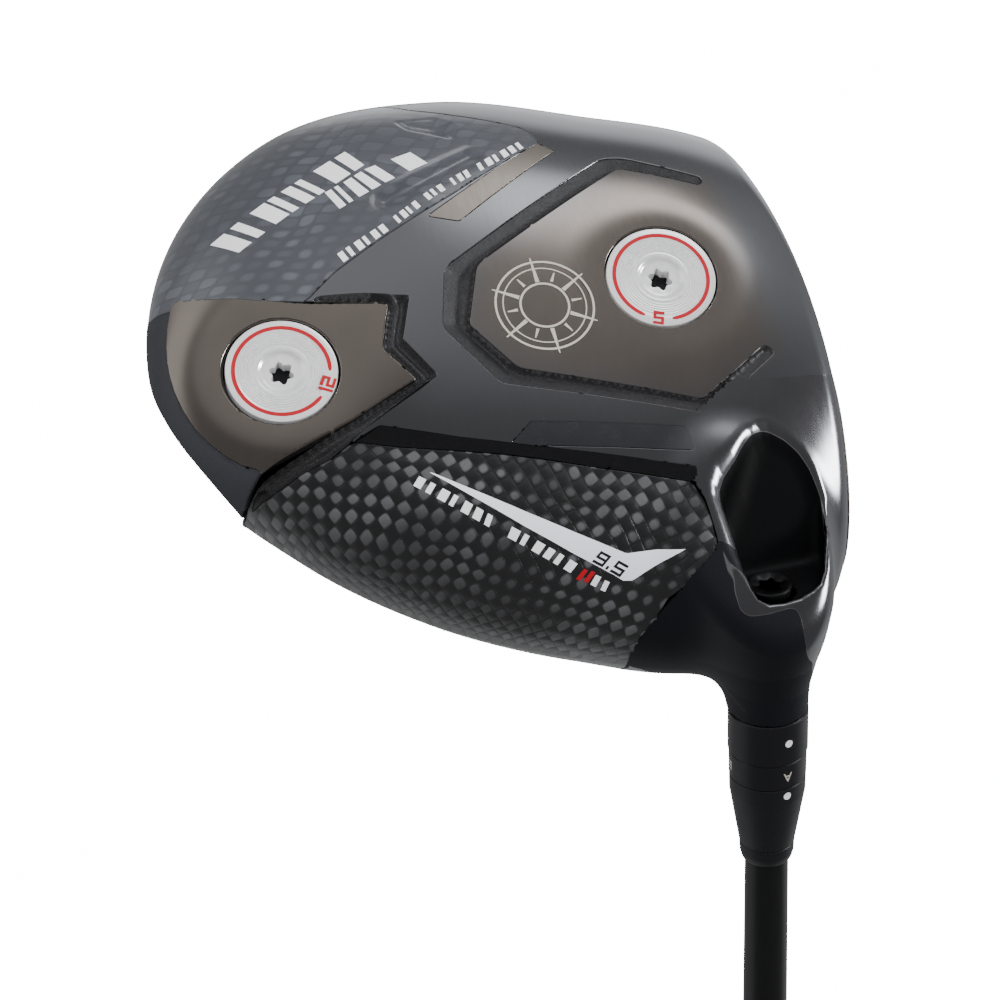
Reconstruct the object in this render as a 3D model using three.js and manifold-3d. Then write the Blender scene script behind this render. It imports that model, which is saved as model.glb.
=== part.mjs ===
// A right-handed golf driver: a hollow titanium and carbon head, an adjustable hosel, shaft and grip.
// Units are millimetres and +Z is up. The club stands on the butt end of its grip, head at the top.
// The shaft's axis is the Z axis, the butt end is at Z = 0 and the face looks along +X.
import * as THREE from "three";
import { mergeVertices } from "three/addons/utils/BufferGeometryUtils.js";
import Module from "manifold-3d";

const wasm = await Module();
wasm.setup();

// ---- driving dimensions -------------------------------------------------------------------
const CLUB_LENGTH = 1155; // butt end to where the shaft's axis meets the sole plane
const LIE = THREE.MathUtils.degToRad(58);
const LOFT = THREE.MathUtils.degToRad(9.5);
const AXIS_SEGMENTS = 28;

// The head's own frame: x to the toe, y to the target, z up from the sole, origin on the shaft's axis.
const HEAD_CENTRE = [50, -34];
const RIM_RADIUS = [60.6, 59.9, 72.2, 82.4, 77.7, 72, 56.2, 51, 54.3, 64.8, 68.8, 66.7];
const RIM_HEIGHT = 26;
const CROWN_HEIGHT = 48.5; // over the middle of the head
const CROWN_SLOPE = 0.25;
const SOLE_POWERS = [3, 2.2];
const CROWN_POWERS = [2.4, 2];
const LEADING_EDGE_Y = 25.9;
const LEADING_EDGE_Z = 8;
const FACE_MIDDLE = [44.5, 32];
const BULGE_DIAMETER = 600;
const FACE_EDGE_BLEND = 5;
const HEAD_SLICES = 44;
const SOLE_STEPS = [0, 0.2, 0.4, 0.58, 0.72, 0.84, 0.93, 0.98];
const CROWN_STEPS = [1, 0.97, 0.9, 0.78, 0.62, 0.42, 0.2, 0];

const WALL = 2.6; // casting wall
const PANEL = 1.1; // carbon panel thickness
const GAP = 0.3; // clearance between neighbouring pieces
const FIT = 0.1; // clearance between bonded or sliding pieces
const LEDGE = 5; // width of the ledge that a bonded panel rests on
const RECESS_WALL = 2;

// Distances up the shaft's axis from the sole plane, towards the grip.
const SCREW_FACE = 12.4;
const CORE_FOOT = 16;
const SCREW_SEAT = 17;
const WASHER_THICKNESS = 0.8;
const WRENCH_BORE_END = 18;
const BULKHEAD_TOP = 20.6;
const STEM_END = 22.3;
const SCREW_END = 34;
const SLEEVE_FLOOR = 38.1;
const SHAFT_TIP = 38.5;
const HOSEL_TOP = 40;
const COLLAR_TOP = 49.3;
const RING_TOP = 55;
const TAPER_START = 59;
const SLEEVE_TOP = 71;
const FERRULE_TOP = 75.2;
const SHAFT_TAPER_END = 80.2;

const HOSEL_RADIUS = 7.6;
const SPIGOT_RADIUS = 6.5;
const RING_RADIUS = 7.35;
const BORE_RADIUS = 5.6;
const STEM_RADIUS = 5.3;
const SCREW_RADIUS = 2.4;
const SCREW_HEAD_RADIUS = 4.3;
const SCREW_CHAMFER = 0.4;
const SCREW_CLEARANCE = 0.5;
const WRENCH_RADIUS = 5.5;
const TORX_RADIUS = 2.6;
const TORX_DEPTH = 3;
const TIP_RADIUS = 4.2;
const SLEEVE_TIP_RADIUS = 5.2;
const BUTT_RADIUS = 7.5;
const SHAFT_WALL = 1.3;
const PLUG_LENGTH = 7.5;

// The neck that flares from the hosel into the heel: [radius, distance up the axis].
const NECK = [[14, 3], [13, 10], [11.6, 17], [10, 23], [8.5, 28.6], [7.75, 34], [HOSEL_RADIUS, 38]];
const NECK_FOOT = { x: 23, z: 4.6, slope: 0.09 };

const GRIP_LENGTH = 268;
const GRIP_BUTT_RADIUS = 13.3;
const GRIP_MOUTH_RADIUS = 8.8;
const GRIP_TAPER = [[12.7, 30], [11.4, 90], [10.2, 160], [9.3, 220]]; // [radius, height]
const CAP_THICKNESS = 4;
const CAP_GAP = 1;
const BUTT_TAPER_START = GRIP_LENGTH + 4;
const TAPE_THICKNESS = 0.25;
const TAPE_FIT = 0.06;

const WEIGHT_RADIUS = 10.5;
const WEIGHT_THICKNESS = 5;
const WEIGHT_STEM_RADIUS = 3;
const WEIGHT_STEM_LENGTH = 8;
const WEIGHT_DISH = { depth: 1.2, inner: 5.4, outer: 7 };
const WEIGHT_CHAMFER = 0.5;
const WEIGHT_WASHER = { radius: 5.5, thickness: 0.7, fit: 0.15 };
const PORT_RADIUS = WEIGHT_RADIUS + 0.3;
const BOSS_RADIUS = 13;
const FRONT_WEIGHT = { x: 54.7, y: -4.6, z: 0.3, tilt: 0 };
const REAR_WEIGHT = { x: 51.2, y: -79.4, z: 3.4, tilt: THREE.MathUtils.degToRad(4.6) };

// Plan outlines on the sole, in the head's frame.
const GROOVE_OUTER = [[76.4, 10.9], [83.1, -3.3], [83.6, -7.2], [64.3, -44.4], [52.4, -48.1],
  [39.3, -40.5], [26, -3.6], [36.2, 12.8], [38.4, 11.4], [28.3, -3.9], [41.3, -36.8],
  [51.9, -43.4], [64.2, -38.4], [81.1, -5], [74.4, 9.9]];
const TOE_PANEL = [[64.5, -70.8], [91.8, -16.6], [112, -29], [126, -46], [104, -92],
  [76, -102]];
const HEEL_PANEL = [[34.7, -70.5], [23.7, -37.4], [13, -9.1], [5.7, -7.3], [1.5, -8.5], [-14, -30],
  [2, -74], [31.3, -96], [36, -86]];
const REAR_POD = [[75.1, -94.2], [59.6, -56.6], [51.3, -59.8], [42.6, -55.8], [36.4, -86.4],
  [46, -92], [60.9, -96.4]];
const RECESS = [[23, 7.8], [13.2, 13.6], [2.1, 12.4], [-5.6, 6.4], [-6.6, -5], [10.9, -5], [21.9, 3.4]];
const RECESS_FLOOR = { x: 23, z: 4, slope: 0.4 };
const CHEVRON = [[26.7, -59], [3.6, -25.9], [2.7, -13.8], [-0.6, -26.6]];

// ---- geometry helpers ---------------------------------------------------------------------
function solidOf(geometry) {
  const bare = geometry.clone();
  for (const name of ["normal", "uv"]) bare.deleteAttribute(name);
  const merged = mergeVertices(bare, 1e-4);
  const mesh = new wasm.Mesh({
    numProp: 3,
    vertProperties: Float32Array.from(merged.getAttribute("position").array),
    triVerts: Uint32Array.from(merged.index.array),
  });
  return new wasm.Manifold(mesh);
}

function geometryOf(solid) {
  const mesh = solid.getMesh();
  const geometry = new THREE.BufferGeometry();
  geometry.setAttribute("position", new THREE.BufferAttribute(mesh.vertProperties, 3));
  geometry.setIndex(new THREE.BufferAttribute(mesh.triVerts, 1));
  return geometry;
}

// A body of revolution about Z from [radius, height] points that run anticlockwise in that plane.
function turned(profile, segments = AXIS_SEGMENTS) {
  const points = profile.map(([radius, height]) => new THREE.Vector2(radius, height));
  const onAxis = profile[0][0] === 0 && profile[profile.length - 1][0] === 0;
  if (!onAxis) points.push(points[0].clone());
  return new THREE.LatheGeometry(points, segments).rotateX(Math.PI / 2);
}

function disc(radius, low, high, segments = AXIS_SEGMENTS) {
  return turned([[0, low], [radius, low], [radius, high], [0, high]], segments);
}

function tube(inner, outer, low, high, segments = AXIS_SEGMENTS) {
  return turned([[inner, low], [outer, low], [outer, high], [inner, high]], segments);
}

function prism(outline, low, high) {
  const shape = new THREE.Shape(outline.map(([x, y]) => new THREE.Vector2(x, y)));
  const extruded = new THREE.ExtrudeGeometry(shape, { depth: high - low, bevelEnabled: false });
  return solidOf(extruded.translate(0, 0, low));
}

function isAnticlockwise(outline) {
  return THREE.ShapeUtils.area(outline.map(([x, y]) => new THREE.Vector2(x, y))) > 0;
}

// Moves every side of an outline outwards by the same distance.
function grown(outline, distance) {
  const side = isAnticlockwise(outline) ? 1 : -1;
  return outline.map((point, i) => {
    const before = outline[(i + outline.length - 1) % outline.length];
    const after = outline[(i + 1) % outline.length];
    const a = new THREE.Vector2(point[0] - before[0], point[1] - before[1]).normalize();
    const b = new THREE.Vector2(after[0] - point[0], after[1] - point[1]).normalize();
    const normal = new THREE.Vector2(a.y + b.y, -a.x - b.x);
    const reach = (2 * distance * side) / normal.lengthSq();
    return [point[0] + normal.x * reach, point[1] + normal.y * reach];
  });
}

// Moves every corner of an outline towards the middle of its corners.
function drawnIn(outline, distance) {
  const middle = [0, 1].map((i) => outline.reduce((sum, point) => sum + point[i], 0) / outline.length);
  return outline.map(([x, y]) => {
    const keep = 1 - distance / Math.hypot(x - middle[0], y - middle[1]);
    return [middle[0] + (x - middle[0]) * keep, middle[1] + (y - middle[1]) * keep];
  });
}

// ---- the head's outer surface -------------------------------------------------------------
// A closed spline through evenly spaced values.
function aroundRim(values, turn) {
  const place = turn * values.length;
  const i = Math.floor(place);
  const f = place - i;
  const [a, b, c, d] = [-1, 0, 1, 2].map((k) => values[(i + k + values.length) % values.length]);
  const cubic = -a + 3 * b - 3 * c + d;
  const square = 2 * a - 5 * b + 4 * c - d;
  return 0.5 * (2 * b + (c - a) * f + square * f * f + cubic * f * f * f);
}

function softMinimum(a, b, blend) {
  const h = THREE.MathUtils.clamp(0.5 + (0.5 * (b - a)) / blend, 0, 1);
  return b * (1 - h) + a * h - blend * h * (1 - h);
}

function faceY(x, z) {
  const bulge = (x - FACE_MIDDLE[0]) ** 2 / BULGE_DIAMETER;
  const roll = (z - FACE_MIDDLE[1]) ** 2 / BULGE_DIAMETER;
  return LEADING_EDGE_Y - (z - LEADING_EDGE_Z) * Math.tan(LOFT) - bulge - roll;
}

// reach runs from 0 at the middle of the sole or crown to 1 at the rim.
function headPoint(turn, reach, onSole) {
  const angle = turn * 2 * Math.PI;
  const radius = aroundRim(RIM_RADIUS, turn) * reach;
  const x = HEAD_CENTRE[0] + radius * Math.cos(angle);
  const y = HEAD_CENTRE[1] + radius * Math.sin(angle);
  const rim = RIM_HEIGHT - 3 * Math.cos(angle) + Math.sin(angle);
  const [p, q] = onSole ? SOLE_POWERS : CROWN_POWERS;
  const rise = (1 - reach ** p) ** (1 / q);
  const top = CROWN_HEIGHT + CROWN_SLOPE * (y - HEAD_CENTRE[1]);
  const z = onSole ? rim * (1 - rise) : rim + (top - rim) * rise;
  return [x, softMinimum(y, faceY(x, z), FACE_EDGE_BLEND), z];
}

// The closed head surface, moved inwards along its normals by a distance.
function headSolid(inset) {
  const rings = [
    ...SOLE_STEPS.map((reach) => [reach, true]),
    ...CROWN_STEPS.map((reach) => [reach, false]),
  ];
  const positions = [];
  for (const [reach, onSole] of rings) {
    const count = reach === 0 ? 1 : HEAD_SLICES;
    for (let k = 0; k < count; k++) positions.push(...headPoint(k / HEAD_SLICES, reach, onSole));
  }
  const last = positions.length / 3 - 1;
  const start = (ring) => 1 + (ring - 1) * HEAD_SLICES;
  const index = [];
  for (let k = 0; k < HEAD_SLICES; k++) {
    const next = (k + 1) % HEAD_SLICES;
    index.push(0, start(1) + next, start(1) + k);
    for (let ring = 1; ring < rings.length - 2; ring++) {
      const [a, b] = [start(ring) + k, start(ring) + next];
      const [c, d] = [a + HEAD_SLICES, b + HEAD_SLICES];
      index.push(a, b, d, a, d, c);
    }
    const top = start(rings.length - 2);
    index.push(top + k, top + next, last);
  }
  const geometry = new THREE.BufferGeometry();
  geometry.setAttribute("position", new THREE.Float32BufferAttribute(positions, 3));
  geometry.setIndex(index);
  geometry.computeVertexNormals();
  const position = geometry.getAttribute("position");
  const normal = geometry.getAttribute("normal");
  const point = new THREE.Vector3();
  const step = new THREE.Vector3();
  for (let i = 0; i < position.count; i++) {
    step.fromBufferAttribute(normal, i).multiplyScalar(-inset);
    point.fromBufferAttribute(position, i).add(step);
    position.setXYZ(i, point.x, point.y, point.z);
  }
  return solidOf(geometry);
}

// Places a body of revolution about the shaft's axis in the head's frame, heights measured
// from the sole plane towards the grip.
function onShaftAxis(geometry) {
  const solid = solidOf(geometry);
  return solid.rotate([0, THREE.MathUtils.radToDeg(LIE) - 90, 0]);
}

// Places a body of revolution at a weight, heights measured into the head from the weight's face.
function atWeight(weight, geometry) {
  const solid = solidOf(geometry);
  const tilted = solid.rotate([-THREE.MathUtils.radToDeg(weight.tilt), 0, 0]);
  return tilted.translate([weight.x, weight.y, weight.z]);
}

// ---- head pieces --------------------------------------------------------------------------
const BELOW = -30;
const ABOVE = 90;
const REACH = 60;
const SOLE_PANEL_TOP = 22;
const POD_TOP = 20;
const CROWN_FLOOR = 28;
const GROOVE_DEPTH = 1.6;
const POD_LIFT = 0.8;
const FILM = [0.1, 0.35];
const outer = headSolid(0);
const skinInner = headSolid(PANEL);
const recessFloor = headSolid(PANEL + GAP);
const cavity = headSolid(WALL);

const FACE_INSERT = superEllipse(44, 29.5, 45, 20.5, 2.6, 28);
const CROWN_OUTLINE = rimOutline(0.9, 30);

function superEllipse(x, y, width, height, power, count) {
  const outline = [];
  for (let k = 0; k < count; k++) {
    const angle = (k / count) * 2 * Math.PI;
    const [c, s] = [Math.cos(angle), Math.sin(angle)];
    const px = x + width * Math.sign(c) * Math.abs(c) ** (2 / power);
    const py = y + height * Math.sign(s) * Math.abs(s) ** (2 / power);
    outline.push([px, py]);
  }
  return outline;
}

// The crown seam in plan: a fraction of the rim, kept behind the face and clear of the hosel.
function rimOutline(fraction, count) {
  const outline = [];
  const face = 8;
  const heel = -0.5;
  for (let k = 0; k < count; k++) {
    const [x, y] = headPoint(k / count, fraction, false);
    const point = [Math.max(x, heel), Math.min(y, face)];
    const last = outline[outline.length - 1];
    if (!last || Math.hypot(point[0] - last[0], point[1] - last[1]) > 1) outline.push(point);
  }
  return outline;
}

function skinOver(region) {
  return outer.subtract(skinInner).intersect(region);
}

function makeSolePanel(outline) {
  return skinOver(prism(outline, BELOW, SOLE_PANEL_TOP)).subtract(podRegion(GAP));
}

// A recess for a bonded panel, with a window inside its ledge.
function panelSeat(outline, low, high) {
  const region = prism(grown(outline, GAP), low - GAP, high + GAP);
  const window = prism(drawnIn(outline, LEDGE), low, high - LEDGE);
  return region.subtract(recessFloor).add(window);
}

function weightPort(weight) {
  const seat = WEIGHT_THICKNESS + 1;
  const bore = disc(PORT_RADIUS, -20, seat);
  const thread = disc(WEIGHT_STEM_RADIUS + GAP, seat - 1, 40);
  return atWeight(weight, bore).add(atWeight(weight, thread));
}

function weightBoss(weight) {
  return atWeight(weight, disc(BOSS_RADIUS, -1, WEIGHT_THICKNESS + WEIGHT_STEM_LENGTH));
}

// A prism along y from an outline in x and z.
function sidePrism(outline, low, high) {
  const shape = new THREE.Shape(outline.map(([x, z]) => new THREE.Vector2(x, z)));
  const extruded = new THREE.ExtrudeGeometry(shape, { depth: high - low, bevelEnabled: false });
  return solidOf(extruded.rotateX(Math.PI / 2).translate(0, high, 0));
}

// The space between a height and a plane that rises towards the heel.
function wedge({ x, z, slope }, lift, height) {
  const [heel, toe] = [x - REACH, x + REACH];
  const plane = (at) => z + (x - at) * slope + lift;
  return sidePrism([[heel, height], [toe, height], [toe, plane(toe)], [heel, plane(heel)]], -REACH, REACH);
}

function neck(inset) {
  const rows = NECK.map(([radius, height]) => [radius - inset, height]);
  const profile = [[0, NECK[0][1]], ...rows, [0, NECK[NECK.length - 1][1]]];
  return onShaftAxis(turned(profile)).intersect(wedge(NECK_FOOT, inset, ABOVE));
}

function screwRecess(wall) {
  const scoop = prism(grown(RECESS, wall), BELOW, POD_TOP).intersect(wedge(RECESS_FLOOR, wall, BELOW));
  return scoop.add(onShaftAxis(disc(WRENCH_RADIUS + wall, BELOW, WRENCH_BORE_END + wall)));
}

function makeHeadBody() {
  const outside = outer.add(neck(0));
  const core = onShaftAxis(turned([[0, CORE_FOOT], [HOSEL_RADIUS, CORE_FOOT], [HOSEL_RADIUS, HOSEL_TOP],
    [SPIGOT_RADIUS, HOSEL_TOP], [SPIGOT_RADIUS, COLLAR_TOP - GAP], [0, COLLAR_TOP - GAP]]));
  const added = [
    core,
    screwRecess(RECESS_WALL).intersect(outside),
    weightBoss(FRONT_WEIGHT).intersect(outer),
  ];
  const removed = [
    prism(GROOVE_OUTER, BELOW, POD_TOP).subtract(headSolid(GROOVE_DEPTH)),
    weightPort(FRONT_WEIGHT),
    panelSeat(TOE_PANEL, BELOW, SOLE_PANEL_TOP),
    panelSeat(HEEL_PANEL, BELOW, SOLE_PANEL_TOP),
    podRegion(GAP),
    panelSeat(CROWN_OUTLINE, CROWN_FLOOR, ABOVE),
    facePrism(GAP),
    screwRecess(0),
    onShaftAxis(disc(SCREW_RADIUS + SCREW_CLEARANCE, 0, REACH)),
    onShaftAxis(disc(BORE_RADIUS, BULKHEAD_TOP, REACH)),
  ];
  const shell = outside.subtract(cavity).subtract(neck(WALL));
  const filled = added.reduce((body, piece) => body.add(piece), shell);
  return removed.reduce((body, space) => body.subtract(space), filled);
}

function podRegion(extra) {
  return prism(grown(REAR_POD, extra), BELOW, POD_TOP + extra);
}

function makeRearPod() {
  const plate = headSolid(-POD_LIFT).subtract(cavity).intersect(podRegion(0));
  const boss = weightBoss(REAR_WEIGHT).intersect(outer);
  return plate.add(boss).subtract(weightPort(REAR_WEIGHT));
}

function facePrism(extra) {
  return sidePrism(grown(FACE_INSERT, extra), 0, REACH);
}

function makeFaceInsert() {
  return outer.subtract(cavity).intersect(facePrism(0));
}

function makeChevron() {
  const film = headSolid(-FILM[1]).subtract(headSolid(-FILM[0]));
  return film.intersect(prism(CHEVRON, BELOW, SOLE_PANEL_TOP));
}

// ---- weights ------------------------------------------------------------------------------
function torxSocket(radius, low, high) {
  const lobes = 6;
  const count = lobes * 4;
  const outline = [];
  for (let k = 0; k < count; k++) {
    const angle = (k / count) * 2 * Math.PI;
    const r = radius * (0.86 + 0.14 * Math.cos(lobes * angle));
    outline.push([r * Math.cos(angle), r * Math.sin(angle)]);
  }
  return prism(outline, low, high);
}

function makeWeight(weight) {
  const { depth, inner, outer: rim } = WEIGHT_DISH;
  const end = WEIGHT_THICKNESS + WEIGHT_STEM_LENGTH - 1;
  const profile = [[0, depth], [inner, depth], [rim, 0], [WEIGHT_RADIUS - WEIGHT_CHAMFER, 0],
    [WEIGHT_RADIUS, WEIGHT_CHAMFER], [WEIGHT_RADIUS, WEIGHT_THICKNESS],
    [WEIGHT_STEM_RADIUS, WEIGHT_THICKNESS], [WEIGHT_STEM_RADIUS, end], [0, end]];
  const solid = solidOf(turned(profile)).subtract(torxSocket(TORX_RADIUS, -1, depth + TORX_DEPTH));
  return atWeight(weight, geometryOf(solid));
}

function makeWeightWasher(weight) {
  const { radius, thickness, fit } = WEIGHT_WASHER;
  const low = WEIGHT_THICKNESS + fit;
  return atWeight(weight, tube(WEIGHT_STEM_RADIUS + fit, radius, low, low + thickness, 24));
}

// ---- hosel fastening ----------------------------------------------------------------------
function makeHoselScrew() {
  const head = SCREW_SEAT - FIT;
  const profile = [[0, SCREW_FACE], [SCREW_HEAD_RADIUS - SCREW_CHAMFER, SCREW_FACE],
    [SCREW_HEAD_RADIUS, SCREW_FACE + SCREW_CHAMFER], [SCREW_HEAD_RADIUS, head], [SCREW_RADIUS, head],
    [SCREW_RADIUS, SCREW_END], [0, SCREW_END]];
  const socket = torxSocket(TORX_RADIUS, SCREW_FACE - 1, SCREW_FACE + TORX_DEPTH);
  return solidOf(turned(profile, 24)).subtract(socket);
}

function makeSleeve() {
  const bore = TIP_RADIUS + FIT;
  return turned([[SCREW_RADIUS + GAP, STEM_END], [STEM_RADIUS, STEM_END], [STEM_RADIUS, RING_TOP + FIT],
    [RING_RADIUS, RING_TOP + FIT], [RING_RADIUS, TAPER_START], [SLEEVE_TIP_RADIUS, SLEEVE_TOP],
    [bore, SLEEVE_TOP], [bore, SLEEVE_FLOOR], [SCREW_RADIUS + GAP, SLEEVE_FLOOR]]);
}

function makeFerrule() {
  const bore = TIP_RADIUS + FIT;
  const low = SLEEVE_TOP + FIT;
  const chamfer = 0.8;
  return turned([[bore, low], [SLEEVE_TIP_RADIUS, low], [SLEEVE_TIP_RADIUS - 0.2, FERRULE_TOP - chamfer],
    [TIP_RADIUS + GAP, FERRULE_TOP], [bore, FERRULE_TOP]]);
}

// ---- shaft and grip -----------------------------------------------------------------------
const shaftFoot = CAP_THICKNESS + CAP_GAP;
const tapeInner = BUTT_RADIUS + TAPE_FIT;
const tapeOuter = tapeInner + TAPE_THICKNESS;

function makeShaft() {
  const top = CLUB_LENGTH - SHAFT_TIP;
  const taperTop = CLUB_LENGTH - SHAFT_TAPER_END;
  const outside = [[BUTT_RADIUS, shaftFoot], [BUTT_RADIUS, BUTT_TAPER_START], [TIP_RADIUS, taperTop],
    [TIP_RADIUS, top]];
  const inside = outside.map(([radius, height]) => [radius - SHAFT_WALL, height]).reverse();
  return turned([...outside, ...inside]);
}

function makeGrip() {
  const bore = tapeOuter + TAPE_FIT;
  const foot = CAP_THICKNESS + GAP;
  return turned([[bore, foot], [GRIP_BUTT_RADIUS - 0.3, foot], [GRIP_BUTT_RADIUS, 10], ...GRIP_TAPER,
    [GRIP_MOUTH_RADIUS, GRIP_LENGTH - 2], [GRIP_MOUTH_RADIUS - 0.4, GRIP_LENGTH], [bore, GRIP_LENGTH]]);
}

function makeGripCap() {
  return turned([[0, 0], [GRIP_BUTT_RADIUS - 2.2, 0], [GRIP_BUTT_RADIUS - 0.8, 1.2],
    [GRIP_BUTT_RADIUS - 0.4, CAP_THICKNESS], [0, CAP_THICKNESS]]);
}

// ---- materials ----------------------------------------------------------------------------
function finish(color, roughness, metalness) {
  return new THREE.MeshStandardMaterial({ color, roughness, metalness });
}

const blackTitanium = finish(0x35302c, 0.22, 0.9);
const faceTitanium = finish(0x3a3634, 0.4, 0.9);
const carbon = finish(0x1c1d20, 0.2, 0.1);
const silver = finish(0xc9cbd0, 0.3, 1);
const matteBlack = finish(0x17171a, 0.5, 0.2);
const rubber = finish(0x141414, 0.85, 0);
const steel = finish(0x2a2a2c, 0.35, 1);
const nylon = finish(0x202022, 0.6, 0);
const foil = finish(0xd8dce2, 0.35, 0.6);
const tapePaper = finish(0xb9a983, 0.8, 0);

// ---- assembly -----------------------------------------------------------------------------
const driver = new THREE.Group();

function place(parent, name, shape, material) {
  const geometry = shape.isBufferGeometry ? shape : geometryOf(shape);
  const mesh = new THREE.Mesh(geometry, material);
  mesh.name = name;
  parent.add(mesh);
}

// Shaft, sleeve and grip stand on the Z axis; heights along the hosel count down from the head.
const hoselGroup = new THREE.Group();
hoselGroup.position.set(0, 0, CLUB_LENGTH);
hoselGroup.rotation.set(Math.PI, 0, 0);
driver.add(hoselGroup);

const bushing = (inner, radius, low, high) => tube(inner, radius, low, high, 24);
const plugFoot = SHAFT_TIP + 0.5;
const plugRadius = TIP_RADIUS - SHAFT_WALL - FIT;
const washerTop = SCREW_SEAT + WASHER_THICKNESS;
place(hoselGroup, "shaft_sleeve", makeSleeve(), matteBlack);
place(hoselGroup, "index_ring", tube(BORE_RADIUS, RING_RADIUS, COLLAR_TOP + FIT, RING_TOP), matteBlack);
place(hoselGroup, "hosel_collar", tube(SPIGOT_RADIUS + FIT, HOSEL_RADIUS, HOSEL_TOP + FIT, COLLAR_TOP),
  matteBlack);
place(hoselGroup, "ferrule", makeFerrule(), nylon);
place(hoselGroup, "tip_plug", disc(plugRadius, plugFoot, plugFoot + PLUG_LENGTH, 20), nylon);
place(hoselGroup, "hosel_screw", makeHoselScrew(), steel);
place(hoselGroup, "screw_washer",
  bushing(SCREW_RADIUS + 0.15, SCREW_HEAD_RADIUS, SCREW_SEAT, washerTop), steel);
place(hoselGroup, "screw_retainer",
  bushing(SCREW_RADIUS + FIT, SCREW_HEAD_RADIUS, BULKHEAD_TOP + GAP, STEM_END - 0.4), nylon);

place(driver, "shaft", makeShaft(), carbon);
place(driver, "grip_tape", tube(tapeInner, tapeOuter, shaftFoot + 2, GRIP_LENGTH - 6), tapePaper);
place(driver, "grip", makeGrip(), rubber);
place(driver, "grip_cap", makeGripCap(), rubber);

// The head hangs on the shaft's axis at its lie angle.
const headGroup = new THREE.Group();
headGroup.position.set(0, 0, CLUB_LENGTH);
headGroup.quaternion.setFromRotationMatrix(new THREE.Matrix4().makeBasis(
  new THREE.Vector3(0, Math.sin(LIE), Math.cos(LIE)),
  new THREE.Vector3(1, 0, 0),
  new THREE.Vector3(0, Math.cos(LIE), -Math.sin(LIE))));
driver.add(headGroup);

place(headGroup, "head_body", makeHeadBody(), blackTitanium);
place(headGroup, "face_insert", makeFaceInsert(), faceTitanium);
place(headGroup, "crown_panel", skinOver(prism(CROWN_OUTLINE, CROWN_FLOOR, ABOVE)), carbon);
place(headGroup, "toe_panel", makeSolePanel(TOE_PANEL), carbon);
place(headGroup, "heel_panel", makeSolePanel(HEEL_PANEL), carbon);
place(headGroup, "rear_pod", makeRearPod(), blackTitanium);
place(headGroup, "heel_chevron", makeChevron(), foil);
for (const [name, weight] of [["front_weight", FRONT_WEIGHT], ["rear_weight", REAR_WEIGHT]]) {
  place(headGroup, name, makeWeight(weight), silver);
  place(headGroup, name + "_washer", makeWeightWasher(weight), nylon);
}

export default driver;
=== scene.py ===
import math

import bmesh
import bpy
import numpy as np
from mathutils import Matrix, Vector


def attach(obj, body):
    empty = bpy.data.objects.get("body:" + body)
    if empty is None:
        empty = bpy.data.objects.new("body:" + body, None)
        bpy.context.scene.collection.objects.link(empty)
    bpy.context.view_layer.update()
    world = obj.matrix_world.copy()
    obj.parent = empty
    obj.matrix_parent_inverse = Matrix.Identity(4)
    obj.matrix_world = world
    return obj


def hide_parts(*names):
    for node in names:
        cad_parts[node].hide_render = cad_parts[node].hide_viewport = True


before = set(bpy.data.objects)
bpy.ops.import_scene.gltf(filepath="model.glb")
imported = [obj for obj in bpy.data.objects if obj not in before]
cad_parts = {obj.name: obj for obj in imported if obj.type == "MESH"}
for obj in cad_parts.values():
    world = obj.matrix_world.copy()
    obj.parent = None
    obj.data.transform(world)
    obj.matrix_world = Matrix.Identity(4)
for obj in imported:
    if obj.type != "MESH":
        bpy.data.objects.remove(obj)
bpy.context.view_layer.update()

MM = 0.001
CLUB_LENGTH = 1155.0
LIE = math.radians(58)
LOFT = math.radians(9.5)

# The head's frame: x to the toe, y to the target, z up from the sole, origin on the shaft's axis.
HEAD_X = Vector((0, math.sin(LIE), math.cos(LIE)))
HEAD_Y = Vector((1, 0, 0))
HEAD_Z = Vector((0, math.cos(LIE), -math.sin(LIE)))
HEAD = Matrix((
    (HEAD_X.x, HEAD_Y.x, HEAD_Z.x, 0),
    (HEAD_X.y, HEAD_Y.y, HEAD_Z.y, 0),
    (HEAD_X.z, HEAD_Y.z, HEAD_Z.z, CLUB_LENGTH * MM),
    (0, 0, 0, 1)))
# The hosel's frame: z runs down the shaft's axis towards the grip, from the sole plane.
HOSEL = Matrix.Translation((0, 0, CLUB_LENGTH * MM)) @ Matrix.Rotation(math.pi, 4, "X")
CLUB = Matrix.Identity(4)
AXIS = np.array([-math.cos(LIE), 0, math.sin(LIE)])
ACROSS = np.array([math.sin(LIE), 0, math.cos(LIE)])


# ---- the head's surface as a distance field, in millimetres ---------------------------------
CENTRE = (50.0, -34.0)
SOLE_POWERS = (3.0, 2.2)
CROWN_POWERS = (2.4, 2.0)
CROWN_HEIGHT = 48.5
CROWN_SLOPE = 0.25
RIM_RADIUS = np.array([60.6, 59.9, 72.2, 82.4, 77.7, 72, 56.2, 51, 54.3, 64.8, 68.8, 66.7])
NECK_REACH = [-2, 3, 10, 17, 23, 28.6, 34, 38, 60]
NECK_RADIUS = [14.9, 14.2, 13.0, 11.6, 10.0, 8.5, 7.75, 7.6, 7.6]
HOSEL_TOP = 40.0


def rim_radius(theta):
    count = len(RIM_RADIUS)
    place = (theta / (2 * np.pi)) % 1.0 * count
    i = np.floor(place).astype(int)
    f = place - i
    a, b, c, d = [RIM_RADIUS[(i + k) % count] for k in (-1, 0, 1, 2)]
    return 0.5 * (2 * b + (c - a) * f + (2 * a - 5 * b + 4 * c - d) * f * f
                  + (-a + 3 * b - 3 * c + d) * f ** 3)


def rim_height(theta):
    return 26 - 3 * np.cos(theta) + np.sin(theta)


def crown_top(y):
    return CROWN_HEIGHT + CROWN_SLOPE * (y - CENTRE[1])


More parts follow.
